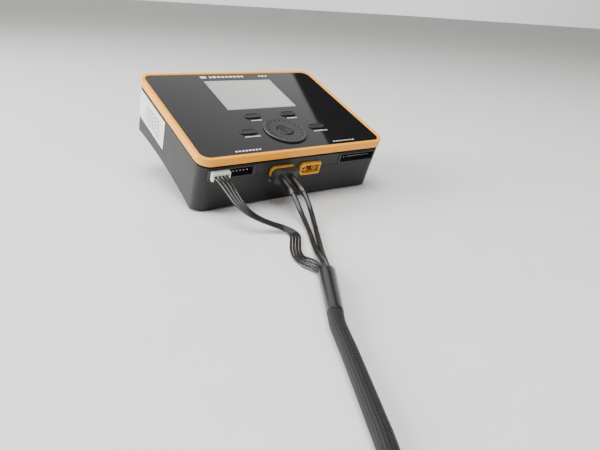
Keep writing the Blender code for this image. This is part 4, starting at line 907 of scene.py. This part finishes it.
# ---- Lead ----
def through(points, step):
    """Points about step apart on a smooth curve through the route's own points."""
    route = [Vector(p) for p in points]
    padded = [2 * route[0] - route[1]] + route + [2 * route[-1] - route[-2]]
    dense = []
    for before, start, end, after in zip(padded, padded[1:], padded[2:], padded[3:]):
        for i in range(20):
            t = i / 20
            linear = (end - before) * t
            square = (2 * before - 5 * start + 4 * end - after) * t * t
            cube = (3 * start - before - 3 * end + after) * t**3
            dense.append(0.5 * (2 * start + linear + square + cube))
    dense.append(route[-1])
    along = [0.0]
    for a, b in zip(dense, dense[1:]):
        along.append(along[-1] + (b - a).length)
    count = max(2, round(along[-1] / step))
    found, i = [], 0
    for k in range(count + 1):
        goal = along[-1] * k / count
        while i < len(along) - 2 and along[i + 1] < goal:
            i += 1
        share = (goal - along[i]) / (along[i + 1] - along[i])
        found.append(dense[i].lerp(dense[i + 1], min(1.0, share)))
    return found


def tube(name, line, diameter, resolution=6):
    """A round tube along a line of points."""
    curve = bpy.data.curves.new(name, "CURVE")
    curve.dimensions = "3D"
    curve.bevel_depth = diameter / 2
    curve.bevel_resolution = resolution
    curve.use_fill_caps = True
    spline = curve.splines.new("POLY")
    spline.points.add(len(line) - 1)
    for point, place in zip(spline.points, line):
        point.co = (*place, 1.0)
    spline.use_smooth = True
    piece = bpy.data.objects.new(name, curve)
    bpy.context.scene.collection.objects.link(piece)
    return piece


class CHARGER_OT_wires(bpy.types.Operator):
    """Four thin balance wires and two thick power wires with shrunk tubes, from the plugs to the collar."""

    bl_idname = "charger.wires"
    bl_label = "Wires"

    def execute(self, context):
        sizes = context.scene.charger_sizes
        silicone = finishes()["silicone"]
        for i in range(BALANCE_WIRES):
            step = i - (BALANCE_WIRES - 1) / 2
            points = []
            for x, y, z, pitch, lean, turn in BALANCE_ROUTE:
                level = step * pitch * math.cos(math.radians(lean))
                rise = step * pitch * math.sin(math.radians(lean))
                a = math.radians(turn)
                points.append(Vector((x + level * math.cos(a), y + level * math.sin(a), z + rise)) * MM)
            line = through(points, 0.0014)
            wire = tube(f"balance_lead_{i + 1}", line, sizes.balance_wire)
            finished(wire, silicone, "silicone", "case", f"balance_wire_{i + 1}")
        for name, route in POWER_ROUTES.items():
            line = through([Vector(p) * MM for p in route], 0.0022)
            wire = tube(f"power_lead_{name}", line, sizes.power_wire, 8)
            finished(wire, silicone, "silicone", "case", f"power_wire_{name}")
            self.shrunk(name, line, sizes)
        return {"FINISHED"}

    def shrunk(self, name, line, sizes):
        """Heat-shrink over the solder joint: a thicker tube whose end tapers onto the wire."""
        reach, kept = 0.0, [line[0]]
        for a, b in zip(line, line[1:]):
            reach += (b - a).length
            if reach > sizes.shrink_length:
                break
            kept.append(b)
        cover = tube(f"shrink_{name}", kept, sizes.power_wire + 0.0011, 8)
        points = cover.data.splines[0].points
        for i, point in enumerate(points):
            share = i / (len(points) - 1)
            point.radius = 1.0 + 0.05 * math.sin(9 * share) - (0.10 if share > 0.93 else 0.0)
        only(cover)
        bpy.ops.object.convert(target="MESH")
        finished(cover, finishes()["shrink"], "heat_shrink")


class CHARGER_OT_lead(bpy.types.Operator):
    """The shrunk collar, the braided sleeve and the battery's own balance lead."""

    bl_idname = "charger.lead"
    bl_label = "Lead"

    def execute(self, context):
        sizes = context.scene.charger_sizes
        self.collar()
        line = through([Vector(p) * MM for p in SLEEVE_ROUTE], 0.0036)
        sleeve = tube("braided_lead", line, sizes.sleeve, 10)
        finished(sleeve, finishes()["braid"], "braid", "case", "lead_sleeve")
        turn = Matrix.Rotation(FAR_TURN, 4, "Z")
        line = through([FAR_END + turn @ (Vector(p) * MM) for p in FAR_BALANCE_ROUTE], 0.0018)
        tail = tube("battery_balance_lead", line, FAR_BALANCE_WIRE, 8)
        finished(tail, finishes()["silicone"], "silicone", "case", "far_balance_lead")
        return {"FINISHED"}

    def collar(self):
        """A shrunk tube that starts flat and wide over six wires and ends round on the sleeve."""
        way = COLLAR_END - COLLAR_START
        turn = math.atan2(way.y, way.x)
        length = way.length
        shape = [(0.0, 0.90, 0.90), (0.006, 0.97, 0.97), (0.02, 1.0, 1.0), (0.10, 1.01, 1.01),
                 (0.22, 0.99, 1.0),
                 (0.38, 0.97, 0.98), (0.55, 0.93, 0.98), (0.72, 0.89, 0.97), (0.86, 0.87, 0.96),
                 (0.97, 0.85, 0.95),
                 (0.994, 0.83, 0.93), (1.0, 0.78, 0.88)]
        wide, tall = 0.0045, 0.0040
        bpy.ops.mesh.primitive_circle_add(vertices=48, radius=1.0, fill_type="NGON", location=(0, 0, 0))
        collar = added("collar")
        bpy.ops.object.mode_set(mode="EDIT")
        bpy.ops.mesh.select_all(action="SELECT")
        bpy.ops.transform.resize(value=(wide * shape[0][1], tall * shape[0][2], 1))
        for (s0, w0, h0), (s1, w1, h1) in zip(shape, shape[1:]):
            bpy.ops.mesh.extrude_region_move(TRANSFORM_OT_translate={"value": (0, 0, (s1 - s0) * length)})
            bpy.ops.transform.resize(value=(w1 / w0, h1 / h0, 1))
        bpy.ops.mesh.select_all(action="SELECT")
        bpy.ops.mesh.normals_make_consistent(inside=False)
        bpy.ops.object.mode_set(mode="OBJECT")
        stand = Matrix(((0, 0, 1), (-1, 0, 0), (0, 1, 0))).to_4x4()
        collar.matrix_world = Matrix.Translation(COLLAR_START) @ Matrix.Rotation(turn, 4, "Z") @ stand
        settle(collar)
        smooth(collar, 50)
        finished(collar, finishes()["shrink"], "heat_shrink", "case", "lead_collar")


# ---- Small parts ----
class CHARGER_OT_small_parts(bpy.types.Operator):
    """Label, feet, stand, screws and the parts inside."""

    bl_idname = "charger.small_parts"
    bl_label = "Small parts"

    def execute(self, context):
        finish = finishes()
        soft_edged("side_label", "label", 0.0, "case", finish["label"], "label_paper")
        soft_edged("kickstand", "stand", 0.0005, "stand", finish["shell"], "shell_plastic")
        soft_edged("kickstand_pad", "stand_pad", 0.0005, "stand", finish["rubber"], "rubber")
        for end in ("front", "back"):
            for side in ("left", "right"):
                soft_edged(f"foot_{end}_{side}", f"pad_{end}_{side}", 0.0005, "case", finish["rubber"],
                           "rubber")
                soft_edged(f"case_screw_{end}_{side}", f"screw_{end}_{side}", 0.0, "case", finish["steel"],
                           "screw_steel")
        kept = {"board": ("control_board", "main_board", "connector_board"), "aluminium": ("heat_sink",),
                "can": ("capacitor_left", "capacitor_right"), "white": ("switch_mat",),
                "keys": ("display_module",),
                "nylon": ("encoder", "fan_frame_left", "fan_frame_right", "fan_rotor_left",
                          "fan_rotor_right")}
        for name, nodes in kept.items():
            for node in nodes:
                mesh = frame["nodes"][node].data
                mesh.materials.clear()
                mesh.materials.append(finish[name])
        return {"FINISHED"}


# ---- Stage ----
class CHARGER_OT_stage(bpy.types.Operator):
    """Pale floor, soft studio lights and the camera."""

    bl_idname = "charger.stage"
    bl_label = "Stage"

    def execute(self, context):
        bpy.ops.mesh.primitive_plane_add(size=40, location=(0, 0, -0.0002))
        floor = added("floor")
        floor.data.materials.append(finishes()["floor"])
        self.lights()
        self.backdrop()
        self.camera()
        return {"FINISHED"}

    def lights(self):
        lamps = [("side_window", (-1.15, 0.60, 0.62), 0.9, 36.0),
                 ("overhead", (-0.25, -0.25, 1.5), 1.1, 34.0),
                 ("front_fill", (0.25, -1.3, 0.75), 0.8, 4.0)]
        for name, place, size, power in lamps:
            bpy.ops.object.light_add(type="AREA", location=place)
            lamp = bpy.context.object
            lamp.name = name
            lamp.data.size = size
            lamp.data.energy = power
            lamp.rotation_euler = (Vector((0, 0, 0.04)) - Vector(place)).to_track_quat("-Z", "Y").to_euler()

    def backdrop(self):
        """Pale all round, dim in front and overhead, with a dark wall on the right that the panel mirrors."""
        world = bpy.data.worlds.new("studio")
        world.use_nodes = True
        tree = world.node_tree
        place = tree.nodes.new("ShaderNodeTexCoord")
        split = tree.nodes.new("ShaderNodeSeparateXYZ")
        tree.links.new(place.outputs["Generated"], split.inputs["Vector"])
        x, y, z = (split.outputs[axis] for axis in "XYZ")
        behind = math_node(tree, "ADD", product(tree, x, -0.35), product(tree, y, 0.94))
        round_it = remap(tree, behind, -0.35, 0.35, 0.16, 1.0)
        up = remap(tree, z, 0.58, 0.78, 1.3, 0.62)
        wall = product(tree, x, 0.7464)
        for axis, share in ((y, 0.0175), (z, 0.6653)):
            wall = math_node(tree, "SUBTRACT", wall, product(tree, axis, share))
        low = math_node(tree, "LESS_THAN", z, 0.35)
        wall = math_node(tree, "MAXIMUM", remap(tree, wall, 0.0, 0.004, 1.0, 0.015), low)
        light = product(tree, round_it, up, wall)
        tree.links.new(light, tree.nodes["Background"].inputs["Strength"])
        tree.nodes["Background"].inputs["Color"].default_value = (1.0, 0.99, 0.97, 1)
        bpy.context.scene.world = world

    def camera(self):
        """The camera looks down on the front left corner."""
        bpy.ops.object.camera_add(location=(-0.1997, -0.33885, 0.12477))
        camera = bpy.context.object
        camera.name = "camera"
        camera.data.sensor_width = 36.0
        camera.data.lens = 31.945
        camera.data.clip_start = 0.005
        yaw, pitch, roll = math.radians(35.62), math.radians(22.29), math.radians(3.57)
        turn = Matrix.Rotation(-yaw, 3, "Z") @ Matrix.Rotation(math.pi / 2 - pitch, 3, "X")
        turn = turn @ Matrix.Rotation(roll, 3, "Z")
        camera.rotation_euler = turn.to_euler()
        bpy.context.scene.camera = camera


class CHARGER_PT_sidebar(bpy.types.Panel):
    """Sizes, colours and one button for each group of pieces."""

    bl_label = "Battery charger"
    bl_idname = "CHARGER_PT_sidebar"
    bl_space_type = "VIEW_3D"
    bl_region_type = "UI"
    bl_category = "Charger"

    def draw(self, context):
        layout = self.layout
        for group in (context.scene.charger_sizes, context.scene.charger_finishes):
            for name in group.__annotations__:
                layout.prop(group, name)
        for step in STEPS:
            layout.operator(step.bl_idname)


STEPS = (CHARGER_OT_shells, CHARGER_OT_bezel, CHARGER_OT_panel, CHARGER_OT_controls, CHARGER_OT_sockets,
         CHARGER_OT_plugs, CHARGER_OT_wires, CHARGER_OT_lead, CHARGER_OT_small_parts, CHARGER_OT_stage)
CLASSES = (ChargerFinishes, ChargerSizes, *STEPS, CHARGER_PT_sidebar)


def register():
    for item in CLASSES:
        bpy.utils.register_class(item)
    bpy.types.Scene.charger_finishes = bpy.props.PointerProperty(type=ChargerFinishes)
    bpy.types.Scene.charger_sizes = bpy.props.PointerProperty(type=ChargerSizes)


def unregister():
    del bpy.types.Scene.charger_sizes
    del bpy.types.Scene.charger_finishes
    for item in reversed(CLASSES):
        bpy.utils.unregister_class(item)


def main():
    register()
    for step in STEPS:
        group, name = step.bl_idname.split(".")
        if getattr(getattr(bpy.ops, group), name)() != {"FINISHED"}:
            raise RuntimeError(f"{step.bl_label} didn't finish")


if __name__ == "__main__":
    main()
